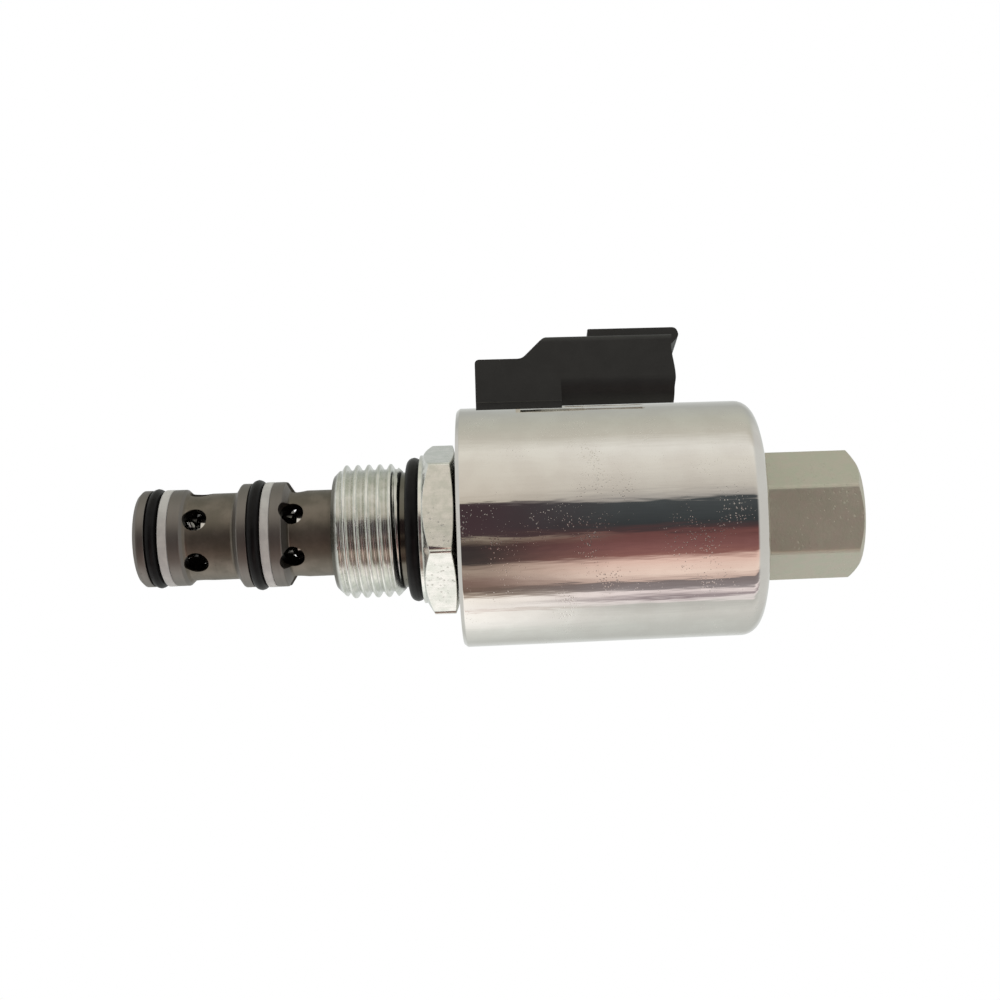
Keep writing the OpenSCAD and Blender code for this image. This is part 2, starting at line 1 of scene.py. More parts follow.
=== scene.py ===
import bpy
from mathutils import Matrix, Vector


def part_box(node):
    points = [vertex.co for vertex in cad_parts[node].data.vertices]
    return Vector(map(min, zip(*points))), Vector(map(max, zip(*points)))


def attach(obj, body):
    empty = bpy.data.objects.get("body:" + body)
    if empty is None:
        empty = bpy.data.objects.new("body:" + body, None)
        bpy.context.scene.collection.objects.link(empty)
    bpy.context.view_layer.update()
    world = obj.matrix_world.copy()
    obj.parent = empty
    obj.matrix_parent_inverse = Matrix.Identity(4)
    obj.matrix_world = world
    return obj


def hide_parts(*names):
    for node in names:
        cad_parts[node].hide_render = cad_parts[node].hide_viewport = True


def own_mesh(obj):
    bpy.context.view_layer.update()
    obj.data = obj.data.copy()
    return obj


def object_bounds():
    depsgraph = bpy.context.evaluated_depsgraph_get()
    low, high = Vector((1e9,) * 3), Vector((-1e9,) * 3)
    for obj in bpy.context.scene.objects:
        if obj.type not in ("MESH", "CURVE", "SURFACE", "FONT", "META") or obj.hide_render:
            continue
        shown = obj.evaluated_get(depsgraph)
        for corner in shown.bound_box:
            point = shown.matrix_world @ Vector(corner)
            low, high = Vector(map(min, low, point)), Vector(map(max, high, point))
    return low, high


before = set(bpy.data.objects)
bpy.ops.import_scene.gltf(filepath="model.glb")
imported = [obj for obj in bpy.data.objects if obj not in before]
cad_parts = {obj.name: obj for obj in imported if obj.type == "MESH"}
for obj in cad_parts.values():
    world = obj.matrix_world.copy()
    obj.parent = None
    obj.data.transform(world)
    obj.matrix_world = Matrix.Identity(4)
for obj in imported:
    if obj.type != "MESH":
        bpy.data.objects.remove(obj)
CAD_BOX = [list(corner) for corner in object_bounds()]

from math import cos, pi, radians, sin, sqrt, tan

import bmesh
import bpy
from bpy.props import FloatProperty, FloatVectorProperty, IntProperty, PointerProperty
from mathutils import Matrix, Vector

bl_info = {
    "name": "Solenoid cartridge valve",
    "version": (1, 0, 0),
    "blender": (4, 5, 0),
    "location": "3D View > Sidebar > Cartridge valve",
    "description": "Builds a three-port solenoid cartridge valve piece by piece",
    "category": "Object",
}

MM = 0.001
# Edges sharper than this stay sharp when a piece is shaded
SHARP_EDGE = radians(38)
# Sides of a turned piece, of one that mirrors its surroundings, and of a ring
FINE_ROUND = 128
MIRROR_ROUND = 256
RING_ROUND = 160
# Levels of the two rows of port holes, in millimetres
UPPER_HOLES = -20.65
LOWER_HOLES = -35.975
# Clearance between a seal and its gland, in millimetres
SEAL_GAP = 0.02


def linear(code):
    """Linear RGBA of an sRGB hex colour such as #aabbcc."""
    parts = [int(code[i:i + 2], 16) / 255 for i in (1, 3, 5)]
    return tuple(c / 12.92 if c <= 0.04045 else ((c + 0.055) / 1.055) ** 2.4 for c in parts) + (1.0,)


def box_mm(name):
    """Lowest and highest corner of a CAD node, in millimetres."""
    low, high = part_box(name)
    return low / MM, high / MM


# ---------------------------------------------------------------- nodes and finishes

def add(tree, kind, inputs=None, **settings):
    """Adds a node: settings are its own properties, inputs are values or sockets by name or number."""
    made = tree.nodes.new(kind)
    for key, value in settings.items():
        setattr(made, key, value)
    for key, value in (inputs or {}).items():
        if isinstance(value, bpy.types.NodeSocket):
            tree.links.new(value, made.inputs[key])
        else:
            made.inputs[key].default_value = value
    return made


# Each finish: two tones and the size of the patches they lie in, how metallic and how rough it
# is, the way its tool marks run with their spacing, run and depth, and its specks with their
# spacing, size and depth. A zone is another tone, reached between two distances from the
# valve's axis; on the adapter and deep in the cage it is painted shade in recesses, on the
# cage's lands it is their own ground tone. Gloss is the strength of the shine on a piece that
# isn't metal, 0.5 where it isn't given. Sizes are in millimetres.
FINISHES = {
    # Bright zinc plate on turned and hexagon bar steel: pale, slightly green, drawn marks along it.
    # Its dark tone nearer the axis is painted shade in the relief neck, the thread roots and the spigot
    "adapter_zinc": dict(tones=("#ecece8", "#dbded8"), patch=1.6, metal=1.0, rough=(0.16, 0.28),
                         lay="along", marks=(0.3, 5.0, 0.004), specks=(0.7, 0.22, 0.008),
                         tones_and_shade_by_radius=((10.3, 9.9, "#6d6b63"),)),
    # Turned steel, brownish gray; its guide lands are ground afterwards, a little less brown.
    # Near black below 6.7 mm from the axis: painted shade in the port holes, the bore and the seal glands
    "cage_steel": dict(tones=("#7f786f", "#6f6a61"), patch=3.0, metal=1.0, rough=(0.40, 0.52),
                       lay="round", marks=(0.25, 0.25, 0.002), specks=(0.8, 0.16, 0.006),
                       tones_and_shade_by_radius=((7.45, 7.55, "#7f7b77"), (7.0, 6.7, "#241f1e"))),
    # Moulded nitrile rubber: near black, a soft gloss from its grease
    "nitrile_rubber": dict(tones=("#171618", "#0f0e10"), patch=1.5, metal=0.0, rough=(0.30, 0.46),
                           lay="round", marks=(0.6, 0.6, 0.003), specks=(1.0, 0.22, 0.02), gloss=0.14),
    # Turned PTFE: white with a waxy sheen and faint turning marks
    "ptfe": dict(tones=("#d8d8d6", "#c9c9c8"), patch=2.0, metal=0.0, rough=(0.34, 0.46),
                 lay="round", marks=(0.3, 0.3, 0.003), specks=None),
    # Drawn stainless tube: bright with fine marks along it
    "tube_steel": dict(tones=("#cfccc8", "#c2bfbb"), patch=4.0, metal=1.0, rough=(0.18, 0.26),
                       lay="along", marks=(0.2, 9.0, 0.002), specks=None),
    # Turned soft iron with a thin clear zinc plate: gray, with rings from the lathe tool
    "soft_iron": dict(tones=("#bdbab4", "#aeaca6"), patch=3.0, metal=1.0, rough=(0.24, 0.36),
                      lay="round", marks=(0.18, 0.18, 0.003), specks=None),
    # Rolled brass foil: yellow and fairly bright
    "brass_foil": dict(tones=("#d8b45c", "#c9a24c"), patch=2.0, metal=1.0, rough=(0.22, 0.32),
                       lay="along", marks=(0.15, 4.0, 0.001), specks=None),
    # Hardened steel, ground and lapped: nearly a mirror
    "spool_steel": dict(tones=("#d9d8d6", "#cfcecb"), patch=3.0, metal=1.0, rough=(0.10, 0.16),
                        lay="round", marks=(0.12, 0.12, 0.0006), specks=None),
    # Turned magnetic steel, nickel plated: warm gray
    "plunger_steel": dict(tones=("#c4beb4", "#b5afa6"), patch=3.0, metal=1.0, rough=(0.20, 0.30),
                          lay="round", marks=(0.16, 0.16, 0.002), specks=None),
    # Cold-drawn spring wire: blue-gray, drawn marks along the wire
    "spring_steel": dict(tones=("#a9acb1", "#93969b"), patch=1.5, metal=1.0, rough=(0.26, 0.36),
                         lay="along", marks=(0.1, 2.0, 0.001), specks=None),
    # Deep-drawn steel can, bright nickel plated: a mirror with drawing lines, pits and rubs
    "shell_plate": dict(tones=("#e2e0dc", "#dddad6"), patch=5.0, metal=1.0, rough=(0.03, 0.08),
                        lay="along", marks=(2.4, 18.0, 0.06), specks=(0.42, 0.26, 0.012)),
    # Stamped steel washer, bright zinc plated: satin with small shear marks
    "end_plate_zinc": dict(tones=("#cfccc4", "#bdbbb3"), patch=2.5, metal=1.0, rough=(0.26, 0.38),
                           lay="round", marks=(0.5, 0.5, 0.004), specks=(1.5, 0.12, 0.006)),
    # Moulded natural nylon: cream, smooth and a little translucent
    "bobbin_nylon": dict(tones=("#e8e0cb", "#ded5bd"), patch=4.0, metal=0.0, rough=(0.36, 0.46),
                         lay="along", marks=(0.4, 2.0, 0.001), specks=None),
    # Enamelled copper wire in close turns: the turns show as rings 0.5 mm apart
    "copper_winding": dict(tones=("#c0713c", "#a85c2e"), patch=2.0, metal=1.0, rough=(0.20, 0.30),
                           lay="turns", marks=(0.5, 0.5, 0.12), specks=None),
    # Polyester tape: yellow and glossy, with the edges of its laps
    "coil_tape": dict(tones=("#d8c25a", "#ccb44c"), patch=4.0, metal=0.0, rough=(0.22, 0.32),
                      lay="turns", marks=(6.0, 6.0, 0.03), specks=None),
    # Glass-filled nylon moulded in a spark-eroded tool: matt black with an even fine grain.
    # The real grain is 0.05 mm; it is drawn at 0.25 mm so that it shows.
    "connector_nylon": dict(tones=("#252626", "#1f2020"), patch=3.5, metal=0.0, rough=(0.48, 0.62),
                            lay="even", marks=(0.25, 0.25, 0.006), specks=(2.6, 0.10, 0.010)),
    # Tin-plated brass pin: pale and satin
    "contact_tin": dict(tones=("#d9d7d0", "#c8c6bf"), patch=1.0, metal=1.0, rough=(0.22, 0.32),
                        lay="along", marks=(0.1, 2.0, 0.001), specks=None),
    # Barrel-plated zinc on hexagon bar: satin, clouded olive and pink, dinged by its neighbours
    "nut_zinc": dict(tones=("#c9cbba", "#cecabc"), patch=1.8, metal=0.5, rough=(0.34, 0.54),
                     lay="even", marks=(0.5, 0.5, 0.03), specks=(0.7, 0.28, 0.05)),
}

# A pit's bottom is this rough
PIT_ROUGH = 0.65
# Pits gather in patches of this size, in millimetres
PIT_GATHER = 7.0
# Rougher and smoother patches are this large, in millimetres
RUB_PATCH = 9.0


def finish(name):
    """The material of one of the finishes above, made once."""
    label = name + "_finish"
    if label in bpy.data.materials:
        return bpy.data.materials[label]
    look = FINISHES[name]
    made = bpy.data.materials.new(label)
    made.use_nodes = True
    tree = made.node_tree
    tree.nodes.clear()
    place = add(tree, "ShaderNodeTexCoord").outputs["Object"]
    # Two tones in soft patches
    cloud = add(tree, "ShaderNodeTexNoise", {"Vector": place, "Scale": 1 / (look["patch"] * MM),
                                            "Detail": 4.0, "Roughness": 0.55})
    patches = add(tree, "ShaderNodeMapRange", {"Value": cloud.outputs["Fac"], "From Min": 0.35,
                                              "From Max": 0.65}, interpolation_type="SMOOTHSTEP")
    colour = add(tree, "ShaderNodeMix", {0: patches.outputs[0], 6: linear(look["tones"][0]),
                                        7: linear(look["tones"][1])}, data_type="RGBA").outputs[2]
    axes = add(tree, "ShaderNodeSeparateXYZ", {0: place})
    flat = add(tree, "ShaderNodeCombineXYZ", {0: axes.outputs[0], 1: axes.outputs[1]})
    radius = add(tree, "ShaderNodeVectorMath", {0: flat.outputs[0]}, operation="LENGTH")
    # Tones by distance from the axis: painted shade in recesses, and the cage lands' own ground tone
    for near, far, tone in look.get("tones_and_shade_by_radius", ()):
        inside = add(tree, "ShaderNodeMapRange", {"Value": radius.outputs["Value"], "From Min": near * MM,
                                                 "From Max": far * MM})
        colour = add(tree, "ShaderNodeMix", {0: inside.outputs[0], 6: colour, 7: linear(tone)},
                     data_type="RGBA").outputs[2]
    # Tool marks: fine across, long in the direction of the lay
    across, run, depth = look["marks"]
    if look["lay"] in ("round", "turns"):
        rings = add(tree, "ShaderNodeCombineXYZ", {0: radius.outputs["Value"], 2: axes.outputs[2]})
        way = add(tree, "ShaderNodeMapping", {"Vector": rings.outputs[0], "Scale": (
            1 / (across * MM), 1.0, 1 / (run * MM))}).outputs[0]
    else:
        way = add(tree, "ShaderNodeMapping", {"Vector": place, "Scale": (
            1 / (across * MM), 1 / (across * MM), 1 / (run * MM))}).outputs[0]
    if look["lay"] == "turns":
        marks = add(tree, "ShaderNodeTexWave", {"Vector": way, "Scale": 0.5,
                                               "Distortion": 0.0}, bands_direction="Z").outputs["Fac"]
    else:
        marks = add(tree, "ShaderNodeTexNoise", {"Vector": way, "Scale": 1.0, "Detail": 3.0,
                                                "Roughness": 0.5}).outputs["Fac"]
    low, high = look["rough"]
    rub = add(tree, "ShaderNodeTexNoise", {"Vector": place, "Scale": 1 / (RUB_PATCH * MM), "Detail": 5.0})
    wear = add(tree, "ShaderNodeMath", {0: marks, 1: rub.outputs["Fac"]}, operation="MULTIPLY")
    rough = add(tree, "ShaderNodeMapRange", {"Value": wear.outputs[0], "From Min": 0.12, "From Max": 0.42,
                                            "To Min": low, "To Max": high}).outputs[0]
    bump = add(tree, "ShaderNodeBump", {"Height": marks, "Strength": 1.0, "Distance": depth * MM})
    if look["specks"]:
        # Pits and dust marks, gathered in places
        spacing, size, pit = look["specks"]
        cells = add(tree, "ShaderNodeTexVoronoi", {"Vector": place, "Scale": 1 / (spacing * MM)})
        gather = add(tree, "ShaderNodeTexNoise", {"Vector": place, "Scale": 1 / (PIT_GATHER * MM),
                                                 "Detail": 3.0})
        reach = add(tree, "ShaderNodeMapRange", {"Value": gather.outputs["Fac"], "From Min": 0.46,
                                                "From Max": 0.66, "To Min": 0.0, "To Max": 2 * size})
        hole = add(tree, "ShaderNodeMapRange", {"Value": cells.outputs["Distance"], "From Min": 0.0,
                                               "From Max": reach.outputs[0], "To Min": 1.0, "To Max": 0.0},
                   interpolation_type="SMOOTHSTEP").outputs[0]
        bump = add(tree, "ShaderNodeBump", {"Height": hole, "Strength": 1.0, "Distance": pit * MM,
                                           "Normal": bump.outputs[0]}, invert=True)
        rough = add(tree, "ShaderNodeMix", {0: hole, 2: rough, 3: PIT_ROUGH}, data_type="FLOAT").outputs[0]
    skin = add(tree, "ShaderNodeBsdfPrincipled", {
        "Base Color": colour, "Metallic": look["metal"], "Roughness": rough,
        "Specular IOR Level": look.get("gloss", 0.5), "Normal": bump.outputs[0]})
    add(tree, "ShaderNodeOutputMaterial", {"Surface": skin.outputs[0]})
    return made


# ---------------------------------------------------------------- meshes

def soften(corners, steps=4):
    """A closed outline with rounded corners; each corner is (r, z) or (r, z, rounding), in mm."""
    made = []
    for i, corner in enumerate(corners):
        here = Vector(corner[:2])
        rounding = corner[2] if len(corner) > 2 else 0
        if not rounding:
            made.append(tuple(here))
            continue
        back = Vector(corners[i - 1][:2]) - here
        ahead = Vector(corners[(i + 1) % len(corners)][:2]) - here
        cut = 0.0
        if back.length > 1e-6 and ahead.length > 1e-6:
            half = back.angle(ahead) / 2
            if half < radians(89):
                cut = min(rounding / tan(half), 0.45 * back.length, 0.45 * ahead.length)
        if cut < 1e-5:
            made.extend([tuple(here)] * (steps + 1))
            continue
        start, end = here + back.normalized() * cut, here + ahead.normalized() * cut
        centre = here + (back.normalized() + ahead.normalized()).normalized() * (cut / cos(half))
        turn = pi - 2 * half
        for k in range(steps + 1):
            a, b = sin((1 - k / steps) * turn) / sin(turn), sin(k / steps * turn) / sin(turn)
            made.append(tuple(centre + (start - centre) * a + (end - centre) * b))
    return made


def mesh_object(name, points, faces, rows=()):
    """A closed mesh object from points in millimetres, faces pointing outwards."""
    mesh = bpy.data.meshes.new(name)
    mesh.from_pydata([tuple(c * MM for c in p) for p in points], [], faces)
    if rows:
        # Marks the points that a thread is cut into
        mark = mesh.attributes.new("thread", "BOOLEAN", "POINT")
        chosen = set(rows)
        mark.data.foreach_set("value", [i in chosen for i in range(len(points))])
    shape = bmesh.new()
    shape.from_mesh(mesh)
    bmesh.ops.remove_doubles(shape, verts=shape.verts, dist=2e-7)
    bmesh.ops.recalc_face_normals(shape, faces=shape.faces)
    shape.to_mesh(mesh)
    shape.free()
    made = bpy.data.objects.new(name, mesh)
    bpy.context.scene.collection.objects.link(made)
    return made


def turned(name, outline, angles=FINE_ROUND, thread=None):
    """A lathe piece: a closed (r, z) outline in mm, or a function of the angle that gives one."""
    if isinstance(angles, int):
        angles = [2 * pi * i / angles for i in range(angles)]
    columns = [outline(a) if callable(outline) else outline for a in angles]
    count = len(columns[0])
    points = [(r * cos(a), r * sin(a), z) for a, column in zip(angles, columns) for r, z in column]
    faces = []
    for i in range(len(angles)):
        n = (i + 1) % len(angles)
        for j in range(count):
            m = (j + 1) % count
            if columns[i][j][0] < 1e-6 and columns[i][m][0] < 1e-6:
                continue
            faces.append((i * count + j, n * count + j, n * count + m, i * count + m))
    rows = [i * count + j for i in range(len(angles)) for j in thread] if thread else ()
    return mesh_object(name, points, faces, rows)


def prism(name, outline, start, end, place):
    """A closed outline drawn out from start to end; place turns (u, v, length) into a point, in mm."""
    count = len(outline)
    points = [place(u, v, w) for w in (start, end) for u, v in outline]
    faces = [tuple(range(count)), tuple(range(count, 2 * count))]
    faces += [(j, (j + 1) % count, count + (j + 1) % count, count + j) for j in range(count)]
    return mesh_object(name, points, faces)


def settle(piece):
    """Turns a piece and its modifiers into a plain mesh."""
    graph = bpy.context.evaluated_depsgraph_get()
    mesh = bpy.data.meshes.new_from_object(piece.evaluated_get(graph))
    old = piece.data
    piece.modifiers.clear()
    piece.data = mesh
    bpy.data.meshes.remove(old)
    mesh.name = piece.name
    return piece


def join(piece, tool, operation):
    """Adds or cuts a tool with an exact boolean, and takes the tool away."""
    change = piece.modifiers.new("change", "BOOLEAN")
    change.operation = operation
    change.solver = "EXACT"
    change.object = tool
    settle(piece)
    mesh = tool.data
    bpy.data.objects.remove(tool)
    bpy.data.meshes.remove(mesh)
    return piece


def complete(piece, body, slot, *nodes):
    """Shades a finished piece, gives it its finish and puts it on its body in place of the CAD nodes."""
    if "thread" in piece.data.attributes:
        piece.data.attributes.remove(piece.data.attributes["thread"])
    piece.data.shade_smooth()
    piece.data.set_sharp_from_angle(angle=SHARP_EDGE)
    even = piece.modifiers.new("even", "WEIGHTED_NORMAL")
    even.keep_sharp = True
    even.weight = 100
    settle(piece)
    piece.data.materials.clear()
    piece.data.materials.append(finish(slot))
    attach(piece, body)
    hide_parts(*nodes)
    return piece


def dress(**slots):
    """Gives CAD nodes that stay their finishes."""
    for name, slot in slots.items():
        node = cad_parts[name]
        node.data.materials.clear()
        node.data.materials.append(finish(slot))


# ---------------------------------------------------------------- geometry trees

def new_tree(name, numbers):
    """An empty geometry tree with named number inputs, a material input and a geometry output."""
    tree = bpy.data.node_groups.new(name, "GeometryNodeTree")
    sides = tree.interface
    sides.new_socket("Geometry", in_out="INPUT", socket_type="NodeSocketGeometry")
    for label, value in numbers.items():
        kind = "NodeSocketInt" if isinstance(value, int) else "NodeSocketFloat"
        sides.new_socket(label, in_out="INPUT", socket_type=kind).default_value = value
    sides.new_socket("Material", in_out="INPUT", socket_type="NodeSocketMaterial")
    sides.new_socket("Geometry", in_out="OUTPUT", socket_type="NodeSocketGeometry")
    return tree, add(tree, "NodeGroupInput").outputs


def end_tree(tree, given, geometry):
    """Ends a tree in real geometry with its material set."""
    real = add(tree, "GeometryNodeRealizeInstances", {0: geometry})
    clad = add(tree, "GeometryNodeSetMaterial", {"Geometry": real.outputs[0], "Material": given["Material"]})
    add(tree, "NodeGroupOutput", {0: clad.outputs[0]})
    return tree


def use_tree(piece, tree, slot, **values):
    """Runs a tree on a piece with the given inputs, and leaves a plain mesh."""
    labels = {label.replace(" ", "_").lower(): value for label, value in values.items()}
    step = piece.modifiers.new(tree.name, "NODES")
    step.node_group = tree
    for item in tree.interface.items_tree:
        if item.in_out == "INPUT" and item.name.replace(" ", "_").lower() in labels:
            step[item.identifier] = labels[item.name.replace(" ", "_").lower()]
        if item.in_out == "INPUT" and item.name == "Material":
            step[item.identifier] = finish(slot)
    return settle(piece)


def thread_tree():
    """Cuts a right-hand 60-degree thread into the marked points of a turned piece."""
    if "Screw thread" in bpy.data.node_groups:
        return bpy.data.node_groups["Screw thread"]
    tree, given = new_tree("Screw thread", {
        "Pitch": 1.0, "Depth": 0.6, "Crest Radius": 5.0, "Lower End": 0.0, "Upper End": 10.0,
        "Lower Radius": 4.0, "Upper Radius": 4.0})

    place = add(tree, "GeometryNodeInputPosition").outputs[0]
    x, y, z = add(tree, "ShaderNodeSeparateXYZ", {0: place}).outputs
    angle = add(tree, "ShaderNodeMath", {0: y, 1: x}, operation="ARCTAN2").outputs[0]
    turns = add(tree, "ShaderNodeMath", {0: angle, 1: 2 * pi}, operation="DIVIDE").outputs[0]
    above = add(tree, "ShaderNodeMath", {0: z, 1: given["Lower End"]}, operation="SUBTRACT").outputs[0]
    rise = add(tree, "ShaderNodeMath", {0: above, 1: given["Pitch"]}, operation="DIVIDE").outputs[0]
    ahead = add(tree, "ShaderNodeMath", {0: rise, 1: turns}, operation="SUBTRACT").outputs[0]
    phase = add(tree, "ShaderNodeMath", {0: ahead}, operation="FRACT").outputs[0]
    centred = add(tree, "ShaderNodeMath", {0: phase, 1: 0.5}, operation="SUBTRACT").outputs[0]
    folded = add(tree, "ShaderNodeMath", {0: centred}, operation="ABSOLUTE").outputs[0]
    off_crest = add(tree, "ShaderNodeMath", {0: folded, 1: 2.0}, operation="MULTIPLY").outputs[0]
    dip = add(tree, "ShaderNodeMapRange", {"Value": off_crest, "From Min": 0.07, "From Max": 0.90},
              interpolation_type="SMOOTHSTEP").outputs[0]
    depth = add(tree, "ShaderNodeMath", {0: dip, 1: given["Depth"]}, operation="MULTIPLY").outputs[0]
    cut = add(tree, "ShaderNodeMath", {0: given["Crest Radius"], 1: depth}, operation="SUBTRACT").outputs[0]
    lower = add(tree, "ShaderNodeMath", {0: given["Lower Radius"], 1: above}, operation="ADD").outputs[0]
    below = add(tree, "ShaderNodeMath", {0: given["Upper End"], 1: z}, operation="SUBTRACT").outputs[0]
    upper = add(tree, "ShaderNodeMath", {0: given["Upper Radius"], 1: below}, operation="ADD").outputs[0]
    ends = add(tree, "ShaderNodeMath", {0: lower, 1: upper}, operation="MINIMUM").outputs[0]
    radius = add(tree, "ShaderNodeMath", {0: cut, 1: ends}, operation="MINIMUM").outputs[0]
    flat = add(tree, "ShaderNodeCombineXYZ", {0: x, 1: y}).outputs[0]
    now = add(tree, "ShaderNodeVectorMath", {0: flat}, operation="LENGTH").outputs["Value"]
    share = add(tree, "ShaderNodeMath", {0: radius, 1: now}, operation="DIVIDE").outputs[0]
    scale = add(tree, "ShaderNodeCombineXYZ", {0: share, 1: share, 2: 1.0}).outputs[0]
    moved = add(tree, "ShaderNodeVectorMath", {0: place, 1: scale}, operation="MULTIPLY").outputs[0]
    marked = add(tree, "GeometryNodeInputNamedAttribute", {"Name": "thread"}, data_type="BOOLEAN")
    shaped = add(tree, "GeometryNodeSetPosition", {
        "Geometry": given["Geometry"], "Selection": marked.outputs["Attribute"], "Position": moved})
    return end_tree(tree, given, shaped.outputs[0])


def hole_tree():
    """Drills one row of radial holes into a turned piece."""
    if "Radial holes" in bpy.data.node_groups:
        return bpy.data.node_groups["Radial holes"]
    tree, given = new_tree("Radial holes", {
        "Holes": 6, "Hole Diameter": 0.003, "Height": 0.0, "Start": 0.0, "Reach": 0.01, "Turn": 0.0})

    radius = add(tree, "ShaderNodeMath", {0: given["Hole Diameter"], 1: 2.0}, operation="DIVIDE").outputs[0]
    drill = add(tree, "GeometryNodeMeshCylinder", {
        "Vertices": 48, "Radius": radius, "Depth": given["Reach"]})
    half = add(tree, "ShaderNodeMath", {0: given["Reach"], 1: 2.0}, operation="DIVIDE").outputs[0]
    middle = add(tree, "ShaderNodeMath", {0: given["Start"], 1: half}, operation="ADD").outputs[0]
    at = add(tree, "ShaderNodeCombineXYZ", {0: middle, 2: given["Height"]})
    laid = add(tree, "GeometryNodeTransform", {
        "Geometry": drill.outputs["Mesh"], "Translation": at.outputs[0], "Rotation": (0.0, pi / 2, 0.0)})
    centres = add(tree, "GeometryNodePoints", {"Count": given["Holes"]})
    index = add(tree, "GeometryNodeInputIndex").outputs[0]
    whole = add(tree, "ShaderNodeMath", {0: index, 1: 2 * pi}, operation="MULTIPLY").outputs[0]
    step = add(tree, "ShaderNodeMath", {0: whole, 1: given["Holes"]}, operation="DIVIDE").outputs[0]
    angle = add(tree, "ShaderNodeMath", {0: given["Turn"], 1: step}, operation="ADD").outputs[0]
    turn = add(tree, "ShaderNodeCombineXYZ", {2: angle})
    drills = add(tree, "GeometryNodeInstanceOnPoints", {
        "Points": centres.outputs[0], "Instance": laid.outputs[0], "Rotation": turn.outputs[0]})
    solid = add(tree, "GeometryNodeRealizeInstances", {0: drills.outputs[0]})
    drilled = add(tree, "GeometryNodeMeshBoolean", {"Mesh 1": given["Geometry"], "Mesh 2": solid.outputs[0]},
                  operation="DIFFERENCE", solver="EXACT")
    return end_tree(tree, given, drilled.outputs[0])


def spring_tree():
    """Winds a compression spring with one dead turn at each end, standing on its lower end."""
    tree, given = new_tree("Compression spring", {
        "Turns": 7.0, "Mean Radius": 0.003, "Wire Diameter": 0.001, "Length": 0.02, "Bottom": 0.0})

    coil = add(tree, "GeometryNodeCurveSpiral", {
        "Resolution": 32, "Rotations": given["Turns"], "Start Radius": given["Mean Radius"],
        "End Radius": given["Mean Radius"], "Height": given["Length"]})
    along = add(tree, "GeometryNodeSplineParameter").outputs["Factor"]
    wire = given["Wire Diameter"]
    dead = add(tree, "ShaderNodeMath", {0: 1.0, 1: given["Turns"]}, operation="DIVIDE").outputs[0]
    ends = add(tree, "ShaderNodeMath", {0: wire, 1: 3.0}, operation="MULTIPLY").outputs[0]
    free = add(tree, "ShaderNodeMath", {0: given["Length"], 1: ends}, operation="SUBTRACT").outputs[0]
    far = add(tree, "ShaderNodeMath", {0: 1.0, 1: dead}, operation="SUBTRACT").outputs[0]
    first = add(tree, "ShaderNodeMapRange", {"Value": along, "From Max": dead, "To Max": wire}).outputs[0]
    live = add(tree, "ShaderNodeMapRange", {"Value": along, "From Min": dead, "From Max": far,
                                           "To Max": free}).outputs[0]
    last = add(tree, "ShaderNodeMapRange", {"Value": along, "From Min": far, "From Max": 1.0,
                                           "To Max": wire}).outputs[0]
    half = add(tree, "ShaderNodeMath", {0: wire, 1: 2.0}, operation="DIVIDE").outputs[0]
    climb = add(tree, "ShaderNodeMath", {0: first, 1: live}, operation="ADD").outputs[0]
    top = add(tree, "ShaderNodeMath", {0: last, 1: half}, operation="ADD").outputs[0]
    height = add(tree, "ShaderNodeMath", {0: climb, 1: top}, operation="ADD").outputs[0]
    level = add(tree, "ShaderNodeMath", {0: height, 1: given["Bottom"]}, operation="ADD").outputs[0]
    place = add(tree, "GeometryNodeInputPosition").outputs[0]
    x, y, _ = add(tree, "ShaderNodeSeparateXYZ", {0: place}).outputs
    spot = add(tree, "ShaderNodeCombineXYZ", {0: x, 1: y, 2: level})
    wound = add(tree, "GeometryNodeSetPosition", {"Geometry": coil.outputs[0], "Position": spot.outputs[0]})
    section = add(tree, "GeometryNodeCurvePrimitiveCircle", {"Resolution": 16, "Radius": half})
    drawn = add(tree, "GeometryNodeCurveToMesh", {
        "Curve": wound.outputs[0], "Profile Curve": section.outputs[0], "Fill Caps": True})
    return end_tree(tree, given, drawn.outputs[0])


# ---------------------------------------------------------------- sizes

class ValveAdapterSizes(bpy.types.PropertyGroup):
    pitch: FloatProperty(name="Pitch", description="Pitch of the port thread",
                         default=1.814 * MM, unit="LENGTH", precision=5)
    depth: FloatProperty(name="Thread depth", description="Depth of the port thread below its crests",
                         default=0.9 * MM, unit="LENGTH", precision=5)
    thread_length: FloatProperty(name="Thread length", description="Length of the port thread",
                                 default=11 * MM, unit="LENGTH", precision=4)
    corner: FloatProperty(name="Hex corner rounding", description="Rounding along the hex's corners",
                          default=0.4 * MM, unit="LENGTH", precision=5)
    turn: FloatProperty(name="Hex turn", description="Turn of the hex about the valve's axis",
                        default=radians(-3.6), unit="ROTATION", subtype="ANGLE")


class ValveCageSizes(bpy.types.PropertyGroup):
    holes: IntProperty(name="Port holes", description="Number of holes in each port groove", default=6, min=3)
    hole: FloatProperty(name="Hole diameter", description="Diameter of the radial port holes",
                        default=3.8 * MM, unit="LENGTH", precision=4)
    upper_turn: FloatProperty(name="Upper row turn", description="Turn of the upper row of port holes",
                              default=radians(13.4), unit="ROTATION", subtype="ANGLE")
    lower_turn: FloatProperty(name="Lower row turn", description="Turn of the lower row of port holes",
                              default=radians(17.5), unit="ROTATION", subtype="ANGLE")


class ValveArmatureSizes(bpy.types.PropertyGroup):
    turns: FloatProperty(name="Spring turns", description="Number of turns in the return spring", default=9.0)
    wire: FloatProperty(name="Spring wire", description="Diameter of the return spring's wire",
                        default=0.8 * MM, unit="LENGTH", precision=4)


class ValveCoilSizes(bpy.types.PropertyGroup):
    wall: FloatProperty(name="Shell wall", description="Wall of the coil shell",
                        default=2.0 * MM, unit="LENGTH", precision=4)
    rounding: FloatProperty(name="Shell rounding", description="Rounding of the shell's closed end",
                            default=3.0 * MM, unit="LENGTH", precision=4)


